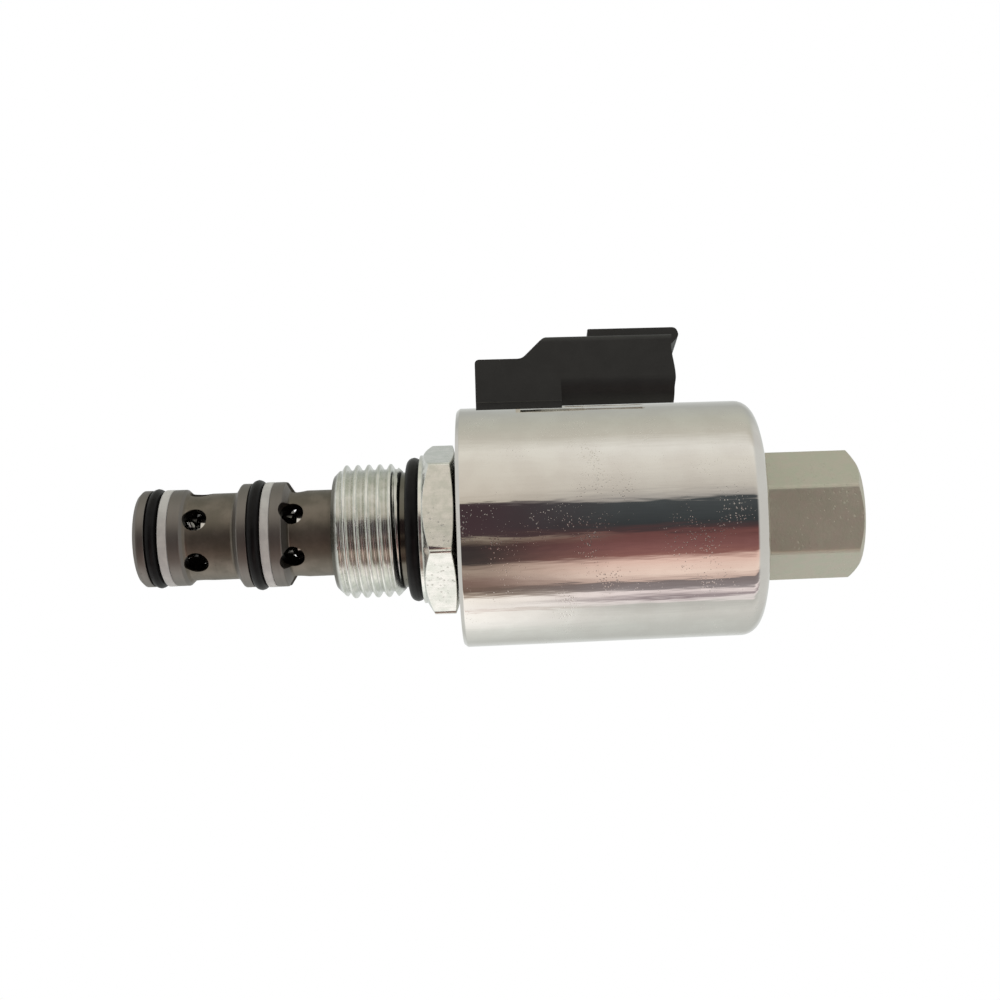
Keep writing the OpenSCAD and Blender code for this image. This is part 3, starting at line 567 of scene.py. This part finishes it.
class ValveConnectorSizes(bpy.types.PropertyGroup):
    edge: FloatProperty(name="Edge rounding", description="Rounding of the connector's moulded edges",
                        default=0.25 * MM, unit="LENGTH", precision=5)
    wave: FloatProperty(name="Mouth wave", description="Depth of the scallops in the connector's mouth",
                        default=0.5 * MM, unit="LENGTH", precision=5)


class ValveNutSizes(bpy.types.PropertyGroup):
    turn: FloatProperty(name="Nut turn", description="Turn of the coil nut about the valve's axis",
                        default=radians(16), unit="ROTATION", subtype="ANGLE")
    corner: FloatProperty(name="Nut corner rounding", description="Rounding along the nut's corners",
                          default=0.35 * MM, unit="LENGTH", precision=5)


class ValveStageLook(bpy.types.PropertyGroup):
    floor: FloatVectorProperty(name="Floor", description="Colour of the floor", subtype="COLOR",
                               size=4, min=0, max=1, default=linear("#ffffff"))


# ---------------------------------------------------------------- pieces

def hex_angles(turn):
    """Angles round a hexagon with one corner at turn, close together near the corners."""
    near = [0.0, 0.35, 0.7, 1.05, 1.6, 2.6, 4.4]
    side = near + [6.8 + 2.2 * i for i in range(22)] + [60 - a for a in near[:0:-1]]
    return [turn + radians(60 * k + a) for k in range(6) for a in side]


def hex_radius(angle, turn, apothem, corner):
    """Distance from the axis to a hexagon's side whose corners are rounded."""
    off = (angle - turn + pi / 6) % (pi / 3) - pi / 6
    centre = (apothem - corner) / cos(pi / 6)
    flat = apothem / cos(pi / 6 - abs(off))
    if corner <= 0 or centre * sin(abs(off)) >= corner:
        return flat
    cap = centre * cos(off) + sqrt(corner ** 2 - (centre * sin(off)) ** 2)
    return min(flat, cap) if abs(off) < radians(1.6) else flat


class VALVE_OT_adapter(bpy.types.Operator):
    """Makes the threaded adapter with its hex"""

    bl_idname = "valve.adapter"
    bl_label = "Adapter"

    def execute(self, context):
        size = context.scene.valve_adapter
        low, high = box_mm("adapter")
        thread_r, thread_end_r, thread_top_r = 11.1, 9.4, 9.85
        neck_r, collar_r, relief_r, spigot_r = 9.6, 12.35, 12.03, 9.0
        collar_top, low_slope, top_slope = 0.5, 0.58, 0.22
        tube_r = box_mm("guide_tube")[1].y
        cage_r, cage_top = 7.145, box_mm("cage")[1].z
        hex_top = high.z - 0.6
        apothem = 12.7
        end_low, end_high = low.z, low.z + size.thread_length / MM
        rows = 160
        wall = [(thread_r, end_low + (end_high - end_low) * (i + 0.5) / rows) for i in range(rows)]

        lower = [(cage_r, end_low, 0.2), (thread_end_r, end_low)]

        def outline(angle):
            reach = hex_radius(angle, size.turn, apothem, size.corner / MM) - collar_r
            upper = [
                (thread_top_r, end_high), (neck_r, end_high), (neck_r, 0.15, 0.1), (relief_r, 0.15, 0.05),
                (relief_r, 0, 0.04), (collar_r, 0, 0.06), (collar_r, collar_top, 0.08),
                (collar_r + reach, collar_top + low_slope * reach, 0.15),
                (collar_r + reach, hex_top - top_slope * reach, 0.15),
                (collar_r, hex_top, 0.1), (spigot_r, hex_top, 0.1), (spigot_r, high.z, 0.1), (tube_r, high.z),
                (tube_r, 1), (5.0, 1), (5.0, cage_top), (cage_r, cage_top)]
            soft = soften(lower + [wall[0]])[:-1], soften([wall[-1]] + upper)[1:]
            return soft[0] + wall + soft[1]

        first = len(soften(lower + [wall[0]])) - 1
        piece = turned("adapter_body", outline, hex_angles(size.turn), range(first, first + rows))
        use_tree(piece, thread_tree(), "adapter_zinc", pitch=size.pitch, depth=size.depth,
                 crest_radius=thread_r * MM, lower_end=end_low * MM, upper_end=end_high * MM,
                 lower_radius=thread_end_r * MM, upper_radius=thread_top_r * MM)
        complete(piece, "cartridge", "adapter_zinc", "adapter")
        return {"FINISHED"}


class VALVE_OT_cage(bpy.types.Operator):
    """Makes the ported cage below the thread"""

    bl_idname = "valve.cage"
    bl_label = "Cage"

    def execute(self, context):
        size = context.scene.valve_cage
        low, high = box_mm("cage")
        tip, top = low.z, high.z
        bore, port_bore, groove = 4.75, 5.25, 7.145
        nose_ring, mid_ring = box_mm("nose_o_ring"), box_mm("mid_o_ring")
        nose_back, mid_back = box_mm("nose_backup_ring"), box_mm("mid_backup_ring")
        nose, mid, lip = 7.925, 8.675, 8.575
        nose_gland, mid_gland = 6.395, 7.125
        outline = soften([
            (bore + 0.8, tip, 0.1), (nose - 0.6, tip, 0.25), (nose, tip + 0.6, 0.25),
            (nose, nose_ring[0].z - SEAL_GAP, 0.12), (nose_gland, nose_ring[0].z - SEAL_GAP, 0.15),
            (nose_gland, nose_back[1].z + SEAL_GAP, 0.15), (nose, nose_back[1].z + SEAL_GAP, 0.12),
            (nose, -38.275, 0.3), (groove, -37.475, 0.5), (groove, -37.0), (groove, -33.4),
            (groove, -30.075, 0.6),
            (lip, -29.155, 0.35), (lip, mid_ring[0].z - SEAL_GAP, 0.12),
            (mid_gland, mid_ring[0].z - SEAL_GAP, 0.15), (mid_gland, mid_back[1].z + SEAL_GAP, 0.15),
            (mid, mid_back[1].z + SEAL_GAP, 0.12), (mid, -22.1, 0.3), (groove, -21.1, 0.5),
            (groove, -20.7), (groove, -18.0), (groove, top), (bore, top), (bore, UPPER_HOLES + 3),
            (port_bore, UPPER_HOLES + 2.5), (port_bore, UPPER_HOLES - 2.5), (bore, UPPER_HOLES - 3),
            (bore, LOWER_HOLES + 3), (port_bore, LOWER_HOLES + 2.5), (port_bore, LOWER_HOLES - 2.5),
            (bore, LOWER_HOLES - 3), (bore, tip + 0.8)])
        piece = turned("cage_body", outline)
        for height, turn in ((LOWER_HOLES, size.lower_turn), (UPPER_HOLES, size.upper_turn)):
            use_tree(piece, hole_tree(), "cage_steel", holes=size.holes, hole_diameter=size.hole,
                     height=height * MM, start=4 * MM, reach=6 * MM, turn=turn)
        complete(piece, "cartridge", "cage_steel", "cage")
        return {"FINISHED"}


class VALVE_OT_seals(bpy.types.Operator):
    """Makes the O-rings and their backup rings"""

    bl_idname = "valve.seals"
    bl_label = "Seals"

    def execute(self, context):
        rings = {"nose_o_ring": "cartridge", "mid_o_ring": "cartridge", "port_o_ring": "cartridge",
                 "base_o_ring": "coil", "nut_o_ring": "nut_seal"}
        for name, body in rings.items():
            low, high = box_mm(name)
            section = (high.z - low.z) / 2
            middle, level = high.y - section, low.z + section
            # The mould's parting line stands out at the middle of the outside
            steps, flash = 40, 0.03
            around = []
            for i in range(steps):
                a = 2 * pi * i / steps
                reach = section if i == 0 else section - flash
                around.append((middle + reach * cos(a), level + section * sin(a)))
            piece = turned(name + "_rubber", around, RING_ROUND)
            complete(piece, body, "nitrile_rubber", name)
        for name, inner in (("nose_backup_ring", 6.415), ("mid_backup_ring", 7.145)):
            low, high = box_mm(name)
            outer = high.y
            outline = soften([(inner, low.z, 0.1), (outer, low.z, 0.22), (outer, high.z, 0.22),
                              (inner, high.z, 0.1)])
            complete(turned(name + "_plastic", outline, RING_ROUND), "cartridge", "ptfe", name)
        return {"FINISHED"}


class VALVE_OT_tube(bpy.types.Operator):
    """Makes the guide tube and the pole piece with its stud"""

    bl_idname = "valve.tube"
    bl_label = "Tube and pole"

    def execute(self, context):
        low, high = box_mm("guide_tube")
        tube_in, shoulder = 6.65, high.z
        outline = soften([(tube_in, low.z, 0.1), (high.y, low.z, 0.2), (high.y, high.z), (tube_in, high.z)])
        complete(turned("guide_tube_steel", outline), "cartridge", "tube_steel", "guide_tube")
        low, high = box_mm("pole_piece")
        coil_top = box_mm("coil_shell")[1].z
        stud, root, pitch = 6.35, 5.6, 1.27
        end_r, head = 5.35, 7.9
        pocket, pocket_top = 3.3, low.z + 6
        start, end = coil_top + 2, high.z
        rows = 120
        wall = [(stud, start + (end - start) * (i + 0.5) / rows) for i in range(rows)]
        before = soften([
            (0, pocket_top), (pocket, pocket_top), (pocket, low.z), (tube_in - 0.02, low.z, 0.2),
            (tube_in - 0.02, shoulder), (head, shoulder), (head, coil_top - 0.6, 0.1),
            (head - 0.4, coil_top - 0.2, 0.1),
            (root - 0.1, coil_top - 0.2), (root - 0.1, start - 0.3)])
        piece = turned("pole_piece_iron", before + wall + [(end_r, end), (0, end)], FINE_ROUND,
                       range(len(before), len(before) + rows))
        use_tree(piece, thread_tree(), "soft_iron", pitch=pitch * MM, depth=(stud - root) * MM,
                 crest_radius=stud * MM, lower_end=start * MM, upper_end=end * MM,
                 lower_radius=(root - 0.1) * MM, upper_radius=end_r * MM)
        complete(piece, "cartridge", "soft_iron", "pole_piece")
        dress(residual_shim="brass_foil")
        return {"FINISHED"}


class VALVE_OT_armature(bpy.types.Operator):
    """Makes the spool and the return spring, and finishes the plunger"""

    bl_idname = "valve.armature"
    bl_label = "Spool and plunger"

    def execute(self, context):
        size = context.scene.valve_armature
        low, high = box_mm("spool")
        r, waist, drill = high.y, 3.4, 1.9
        grooves = [UPPER_HOLES + 6 + 2 * i for i in range(3)]
        outline = [(0, LOWER_HOLES + 1), (drill, LOWER_HOLES + 1), (drill, low.z), (r - 0.3, low.z),
                   (r, low.z + 0.3)]
        for hole in (LOWER_HOLES, UPPER_HOLES):
            start, end = hole - 3.5, hole + 0.5
            outline += [(r, start), (waist, start + 1, 0.3), (waist, end - 1, 0.3), (r, end)]
        for g in grooves:
            outline += [(r, g - 0.25), (r - 0.3, g - 0.25), (r - 0.3, g + 0.25), (r, g + 0.25)]
        outline += [(r, high.z - 0.3), (r - 0.3, high.z), (1.5, high.z), (1.5, high.z - 5), (0, high.z - 5)]
        piece = turned("spool_steel_body", soften(outline))
        use_tree(piece, hole_tree(), "spool_steel", holes=3, hole_diameter=2 * MM,
                 height=(LOWER_HOLES - 1.75) * MM, start=1 * MM, reach=4 * MM, turn=radians(10))
        complete(piece, "core", "spool_steel", "spool")
        low, high = box_mm("return_spring")
        seed = mesh_object("return_spring_wire", [(0, 0, low.z)], [])
        piece = use_tree(seed, spring_tree(), "spring_steel", turns=size.turns,
                         mean_radius=high.y * MM - size.wire / 2, wire_diameter=size.wire,
                         length=(high.z - low.z) * MM, bottom=low.z * MM)
        complete(piece, "core", "spring_steel", "return_spring")
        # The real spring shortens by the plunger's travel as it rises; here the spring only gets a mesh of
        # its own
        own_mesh(piece)
        dress(plunger="plunger_steel", spool_link="plunger_steel")
        return {"FINISHED"}


class VALVE_OT_coil(bpy.types.Operator):
    """Makes the coil's shell and end plate, and finishes what is inside"""

    bl_idname = "valve.coil"
    bl_label = "Coil"

    def execute(self, context):
        size = context.scene.valve_coil
        low, high = box_mm("coil_shell")
        r, z0, z1 = high.y, low.z, high.z
        bore, inner, ceiling = 8.0, r - size.wall / MM, z1 - 3.2
        wall = [(r, z0 + 0.6 + (z1 - z0) * k) for k in (0.25, 0.5, 0.75)]
        outline = soften([
            (inner, z0), (r - 0.5, z0, 0.3), (r, z0 + 0.6, 0.4), *wall, (r, z1, size.rounding / MM),
            (bore, z1, 0.15), (bore, ceiling), (inner, ceiling)], 8)
        piece = turned("coil_shell_can", outline, MIRROR_ROUND)
        window = prism("window", [(inner * 0.8, 11.6), (r + 1, 11.6), (r + 1, 20.6), (inner * 0.8, 20.6)],
                       -7.7, 7.7, lambda out, up, side: (-out, side, up))
        join(piece, window, "DIFFERENCE")
        complete(piece, "coil", "shell_plate", "coil_shell")
        low, high = box_mm("end_plate")
        recess, deep = 11.2, 1.37
        outline = soften([
            (9.0, low.z + deep), (9.0, low.z, 0.1), (bore, low.z, 0.1), (bore, high.z), (inner, high.z),
            (inner, low.z, 0.15), (recess, low.z, 0.1), (recess, low.z + deep)])
        complete(turned("end_plate_steel", outline), "coil", "end_plate_zinc", "end_plate")
        dress(bobbin="bobbin_nylon", winding="copper_winding", winding_tape="coil_tape")
        return {"FINISHED"}


class VALVE_OT_connector(bpy.types.Operator):
    """Makes the moulded connector and finishes its contacts"""

    bl_idname = "valve.connector"
    bl_label = "Connector"

    def execute(self, context):
        size = context.scene.valve_connector
        half = 9.7
        boss_z, boss_out, barrel_out, barrel_in = 9.6, 26.3, 30.25, 18.35
        barrel_z, mouth, rail_z, rail_out, rail_top = 23.75, 42.95, 28.75, 32.65, 44.45
        wave = size.wave / MM

        def side(out, up, across):
            return (-out, across, up)

        def upright(across, out, up):
            return (-out, across, up)

        body = prism("connector_body", soften([
            (15.85, boss_z), (boss_out, boss_z, 0.7), (boss_out, 17.4, 1.8), (barrel_out, 21.4, 1.6),
            (barrel_out, barrel_z), (15.85, barrel_z)]), -half, half, side)
        plan = soften([(-half, 10), (half, 10), (half, barrel_out, 1.2), (-half, barrel_out, 1.2)], 8)
        join(body, prism("plan", plan, boss_z - 1, barrel_z + 1, upright), "INTERSECT")
        section = soften([(-half, barrel_in, 4.5), (half, barrel_in, 4.5), (half, barrel_out, 1.2),
                          (-half, barrel_out, 1.2)], 8)
        barrel = prism("barrel", section, barrel_z - 1, mouth + 1.5, upright)
        # The mouth's edge runs in shallow scallops from the rail down to the coil
        knots = [(17, 0.8), (20.5, 0.5), (22.6, 0.0), (28.2, 1.0), (31.3, 0.3)]
        steps = 12
        edge = []
        for (start, low), (end, high) in zip(knots, knots[1:]):
            for i in range(steps):
                blend = (1 - cos(pi * i / steps)) / 2
                dip = wave * (low + (high - low) * blend)
                edge.append((start + (end - start) * i / steps, mouth - dip))
        beyond = [(knots[-1][0], mouth + 3), (knots[0][0], mouth + 3)]
        scallops = prism("scallops", edge + beyond, -half - 1, half + 1, side)
        join(barrel, scallops, "DIFFERENCE")
        join(body, barrel, "UNION")
        rail = prism("rail", soften([
            (barrel_out - 0.6, rail_z), (rail_out, rail_z, 0.2), (rail_out, rail_top - 0.5, 0.9),
            (rail_out - 1.5, rail_top, 0.9), (rail_out - 2.9, rail_top - 1.3, 0.7),
            (barrel_out - 0.6, mouth - 0.4)]), -5.5, 5.5, side)
        join(body, rail, "UNION")
        saddle = turned("saddle", [(0, 5), (20, 5), (20, 50), (0, 50)], MIRROR_ROUND)
        join(body, saddle, "DIFFERENCE")
        socket = soften([(-8.2, 21.5, 2.5), (8.2, 21.5, 2.5), (8.2, 28.75, 0.8), (-8.2, 28.75, 0.8)])
        join(body, prism("socket", socket, 27.95, 50, upright), "DIFFERENCE")
        for s in (-1, 1):
            step = prism("step", [(10, 8.5), (18.93, 8.5), (18.93, barrel_z), (10, barrel_z)],
                         s * (half - 0.4), s * (half + 1), side)
            join(body, step, "DIFFERENCE")
        edges = body.modifiers.new("edges", "BEVEL")
        edges.width = size.edge
        edges.segments = 2
        edges.limit_method = "ANGLE"
        edges.angle_limit = radians(40)
        settle(body)
        sleeve = turned("sleeve", [(16.92, 9.32), (17.93, 9.32), (17.93, 52.58), (16.92, 52.58)])
        neck = prism("neck", [(17, 11.65), (20.7, 11.65), (20.7, 20.55), (17, 20.55)], -7.65, 7.65, side)
        join(body, neck, "UNION")
        join(body, sleeve, "UNION")
        body.name = "connector_moulding"
        complete(body, "coil", "connector_nylon", "connector_housing")
        body.visible_glossy = False
        dress(terminal_a="contact_tin", terminal_b="contact_tin")
        return {"FINISHED"}


class VALVE_OT_nut(bpy.types.Operator):
    """Makes the closed coil nut"""

    bl_idname = "valve.nut"
    bl_label = "Coil nut"

    def execute(self, context):
        size = context.scene.valve_nut
        low, high = box_mm("coil_nut")
        apothem, trim, face = 9.65, 10.943, 9.3
        z0, z1 = low.z, high.z
        bore, groove, bore_top = 6.4, 8.69, z1 - 4.2

        def outline(angle):
            reach = min(hex_radius(angle, size.turn, apothem, size.corner / MM), trim)
            drop = 0.1 + 0.6 * max(0.0, reach - face)
            foot = max(0.0, reach - (trim - 0.4)) * 0.75
            return soften([
                (0, z1), (0, bore_top + 2.5), (bore, bore_top), (bore, z0 + 1.64), (groove, z0 + 1.64),
                (groove, z0, 0.1), (reach - 0.1 - foot, z0, 0.08), (reach, z0 + 0.05 + foot, 0.12),
                (reach, z1 - drop, 0.15), (face, z1, 0.2)])

        piece = turned("coil_nut_zinc", outline, hex_angles(size.turn))
        complete(piece, "coil_nut", "nut_zinc", "coil_nut")
        return {"FINISHED"}


# ---------------------------------------------------------------- stage

# What stands round the valve, by direction: degrees round the valve's axis from the back of the
# connector, with the brightness there. The first list is seen in the coil's lower part, the
# second in its upper part.
ROOM_LOW = [
    (0, "#c0c2c0"), (28, "#a6a8a4"), (60, "#b4b4aa"), (79, "#bdbab0"), (96, "#d6d3ca"),
    (116, "#cdc8be"), (141, "#c6bfb4"), (148.5, "#b8b0a4"), (149.5, "#3e3034"), (176, "#433438"),
    (180, "#433638"), (181, "#43383a"), (182.5, "#94897c"), (186, "#5a5048"),
    (190, "#342f2f"), (206, "#3c3836"),
    (209, "#7a6c62"), (214, "#9a8a7e"), (224, "#7a645c"), (236, "#6a5a50"), (240, "#b0a296"),
    (243, "#f4efe8"), (256, "#f2eeea"), (258, "#dccfc9"), (260, "#fbf8f4"), (264, "#fbf8f4"),
    (276, "#f6f5f2"), (290, "#d6d8d4"), (315, "#b8bab6"), (333, "#c4c6c4"), (360, "#c0c2c0"),
]
ROOM_HIGH = [
    (0, "#c0c2c0"), (28, "#a6a8a4"), (60, "#b4b4aa"), (79, "#bdbab0"), (96, "#dcdad4"),
    (116, "#d2cec6"), (141, "#bdb8b0"), (150, "#9c9894"), (153, "#44484a"), (174, "#363a3c"),
    (180, "#4c3a3b"), (184, "#6a4644"), (196, "#7c5452"), (204, "#8a605a"), (210, "#dcbcb0"),
    (222, "#e6d0c4"), (229, "#c8b0a6"), (231, "#7a7070"), (240, "#8e8688"), (243, "#e8dcdc"),
    (250, "#908488"), (254, "#e0d8d8"), (258, "#b8b8b4"), (272, "#cacac6"), (290, "#c0c2be"),
    (315, "#b4b6b2"), (333, "#c4c6c4"), (360, "#c0c2c0"),
]
# The direction that both lists start from, in degrees from +X
ROOM_START = 110
# Between these heights of a direction the first list gives way to the second
ROOM_RISE = (-0.048, 0.095)
# Between these heights, up or down, both give way to an even ceiling or ground of this colour
ROOM_CAP = (0.45, 0.7)
ROOM_CAP_COLOUR = "#c2c2bf"
# The plate's own reflectance, by which the room is brighter than what it shows
PLATE_REFLECTANCE = 0.76


class VALVE_OT_stage(bpy.types.Operator):
    """Makes the floor, the light and the camera"""

    bl_idname = "valve.stage"
    bl_label = "Stage"

    def execute(self, context):
        scene = context.scene
        scene.view_settings.view_transform = "Standard"
        self.make_floor(scene)
        self.make_room(scene)
        self.make_camera(scene)
        return {"FINISHED"}

    def make_floor(self, scene):
        """A round pale floor just below the nose."""
        gap = 0.5 * MM
        level = CAD_BOX[0][2] - gap
        mesh = bpy.data.meshes.new("floor")
        shape = bmesh.new()
        bmesh.ops.create_circle(shape, cap_ends=True, segments=96, radius=2.0,
                                matrix=Matrix.Translation((0, 0, level)))
        shape.to_mesh(mesh)
        shape.free()
        floor = bpy.data.objects.new("floor", mesh)
        scene.collection.objects.link(floor)
        paper = bpy.data.materials.new("floor_paper")
        paper.use_nodes = True
        tree = paper.node_tree
        tree.nodes.clear()
        glow = add(tree, "ShaderNodeEmission", {"Color": tuple(scene.valve_stage.floor), "Strength": 1.0})
        add(tree, "ShaderNodeOutputMaterial", {"Surface": glow.outputs[0]})
        mesh.materials.append(paper)
        floor.visible_glossy = False
        floor.visible_diffuse = False
        floor.visible_shadow = False

    def make_room(self, scene):
        """White behind the valve, and soft panels of light and shade all round it."""
        world = bpy.data.worlds.new("studio")
        scene.world = world
        world.use_nodes = True
        tree = world.node_tree
        tree.nodes.clear()

        way = add(tree, "ShaderNodeTexCoord").outputs["Generated"]
        x, y, z = add(tree, "ShaderNodeSeparateXYZ", {0: way}).outputs
        angle = add(tree, "ShaderNodeMath", {0: y, 1: x}, operation="ARCTAN2").outputs[0]
        turns = add(tree, "ShaderNodeMath", {0: angle, 1: 2 * pi}, operation="DIVIDE").outputs[0]
        past = add(tree, "ShaderNodeMath", {0: turns, 1: ROOM_START / 360}, operation="SUBTRACT").outputs[0]
        around = add(tree, "ShaderNodeMath", {0: past}, operation="FRACT").outputs[0]
        far_half = add(tree, "ShaderNodeMath", {0: around, 1: 0.5}, operation="GREATER_THAN").outputs[0]
        twice = add(tree, "ShaderNodeMath", {0: around, 1: 2.0}, operation="MULTIPLY").outputs[0]
        within = add(tree, "ShaderNodeMath", {0: twice}, operation="FRACT").outputs[0]
        sides = []
        for stops in (ROOM_LOW, ROOM_HIGH):
            halves = []
            for start in (0, 180):
                ramp = add(tree, "ShaderNodeValToRGB", {0: within})
                band = ramp.color_ramp
                part = [stop for stop in stops if start <= stop[0] <= start + 180]
                band.elements[0].color = linear(part[0][1])
                band.elements[1].color = linear(part[-1][1])
                for degrees, code in part[1:-1]:
                    band.elements.new((degrees - start) / 180).color = linear(code)
                halves.append(ramp.outputs[0])
            side = add(tree, "ShaderNodeMix", {0: far_half, 6: halves[0], 7: halves[1]}, data_type="RGBA")
            sides.append(side.outputs[2])
        rise = add(tree, "ShaderNodeMapRange", {"Value": z, "From Min": ROOM_RISE[0],
                                               "From Max": ROOM_RISE[1]},
                   interpolation_type="SMOOTHSTEP").outputs[0]
        bands = add(tree, "ShaderNodeMix", {0: rise, 6: sides[0], 7: sides[1]},
                    data_type="RGBA").outputs[2]
        steep = add(tree, "ShaderNodeMath", {0: z}, operation="ABSOLUTE").outputs[0]
        cap = add(tree, "ShaderNodeMapRange", {"Value": steep, "From Min": ROOM_CAP[0],
                                              "From Max": ROOM_CAP[1]},
                  interpolation_type="SMOOTHSTEP").outputs[0]
        room = add(tree, "ShaderNodeMix", {0: cap, 6: bands, 7: linear(ROOM_CAP_COLOUR)},
                   data_type="RGBA").outputs[2]
        light = add(tree, "ShaderNodeBackground", {"Color": room, "Strength": 1 / PLATE_REFLECTANCE})
        white = add(tree, "ShaderNodeBackground", {"Color": (1, 1, 1, 1), "Strength": 1.0})
        seen = add(tree, "ShaderNodeLightPath").outputs["Is Camera Ray"]
        either = add(tree, "ShaderNodeMixShader", {0: seen, 1: light.outputs[0], 2: white.outputs[0]})
        add(tree, "ShaderNodeOutputWorld", {"Surface": either.outputs[0]})

    def make_camera(self, scene):
        """A camera that looks at the valve from its connector's left, turned so that its nose lies left."""
        lens, shift = 50.043, (-0.1349, -0.0061)
        yaw, pitch, roll = radians(4.9496), radians(3.3116), radians(1.7044)
        level, height, distance = 15.45, 18.3, 234.5
        side = radians(16)
        along = Vector((0, 0, 1))
        up = Vector((-cos(side), -sin(side), 0))
        near = Vector((sin(side), -cos(side), 0))
        right = along * cos(yaw) + near * sin(yaw)
        away = along * sin(yaw) - near * cos(yaw)
        raised = up * cos(pitch) + away * sin(pitch)
        deep = away * cos(pitch) - up * sin(pitch)
        across = right * cos(roll) - raised * sin(roll)
        upward = right * sin(roll) + raised * cos(roll)
        spot = along * level + up * height + near * distance
        turn = Matrix((across, upward, -deep)).transposed().to_4x4()
        data = bpy.data.cameras.new("camera")
        data.lens = lens
        data.shift_x, data.shift_y = shift
        data.clip_start = 0.005
        camera = bpy.data.objects.new("camera", data)
        camera.matrix_world = Matrix.Translation(spot * MM) @ turn
        scene.collection.objects.link(camera)
        scene.camera = camera


class VALVE_PT_panel(bpy.types.Panel):
    """Lists the valve's pieces in the order they are made"""

    bl_idname = "VALVE_PT_panel"
    bl_label = "Cartridge valve"
    bl_space_type = "VIEW_3D"
    bl_region_type = "UI"
    bl_category = "Cartridge valve"

    def draw(self, context):
        for operator in OPERATORS:
            self.layout.operator(operator.bl_idname)
        for name in SIZES:
            group = getattr(context.scene, name)
            box = self.layout.box()
            for key in group.bl_rna.properties.keys():
                if key not in ("rna_type", "name"):
                    box.prop(group, key)


SIZES = {
    "valve_adapter": ValveAdapterSizes,
    "valve_cage": ValveCageSizes,
    "valve_armature": ValveArmatureSizes,
    "valve_coil": ValveCoilSizes,
    "valve_connector": ValveConnectorSizes,
    "valve_nut": ValveNutSizes,
    "valve_stage": ValveStageLook,
}
OPERATORS = [VALVE_OT_adapter, VALVE_OT_cage, VALVE_OT_seals, VALVE_OT_tube, VALVE_OT_armature,
             VALVE_OT_coil, VALVE_OT_connector, VALVE_OT_nut, VALVE_OT_stage]


def register():
    for kind in [*SIZES.values(), *OPERATORS, VALVE_PT_panel]:
        bpy.utils.register_class(kind)
    for name, kind in SIZES.items():
        setattr(bpy.types.Scene, name, PointerProperty(type=kind))


def unregister():
    for name in SIZES:
        delattr(bpy.types.Scene, name)
    for kind in reversed([*SIZES.values(), *OPERATORS, VALVE_PT_panel]):
        bpy.utils.unregister_class(kind)


def main():
    """Makes every piece in order."""
    register()
    for operator in OPERATORS:
        group, name = operator.bl_idname.split(".")
        getattr(getattr(bpy.ops, group), name)()


if __name__ == "__main__":
    main()
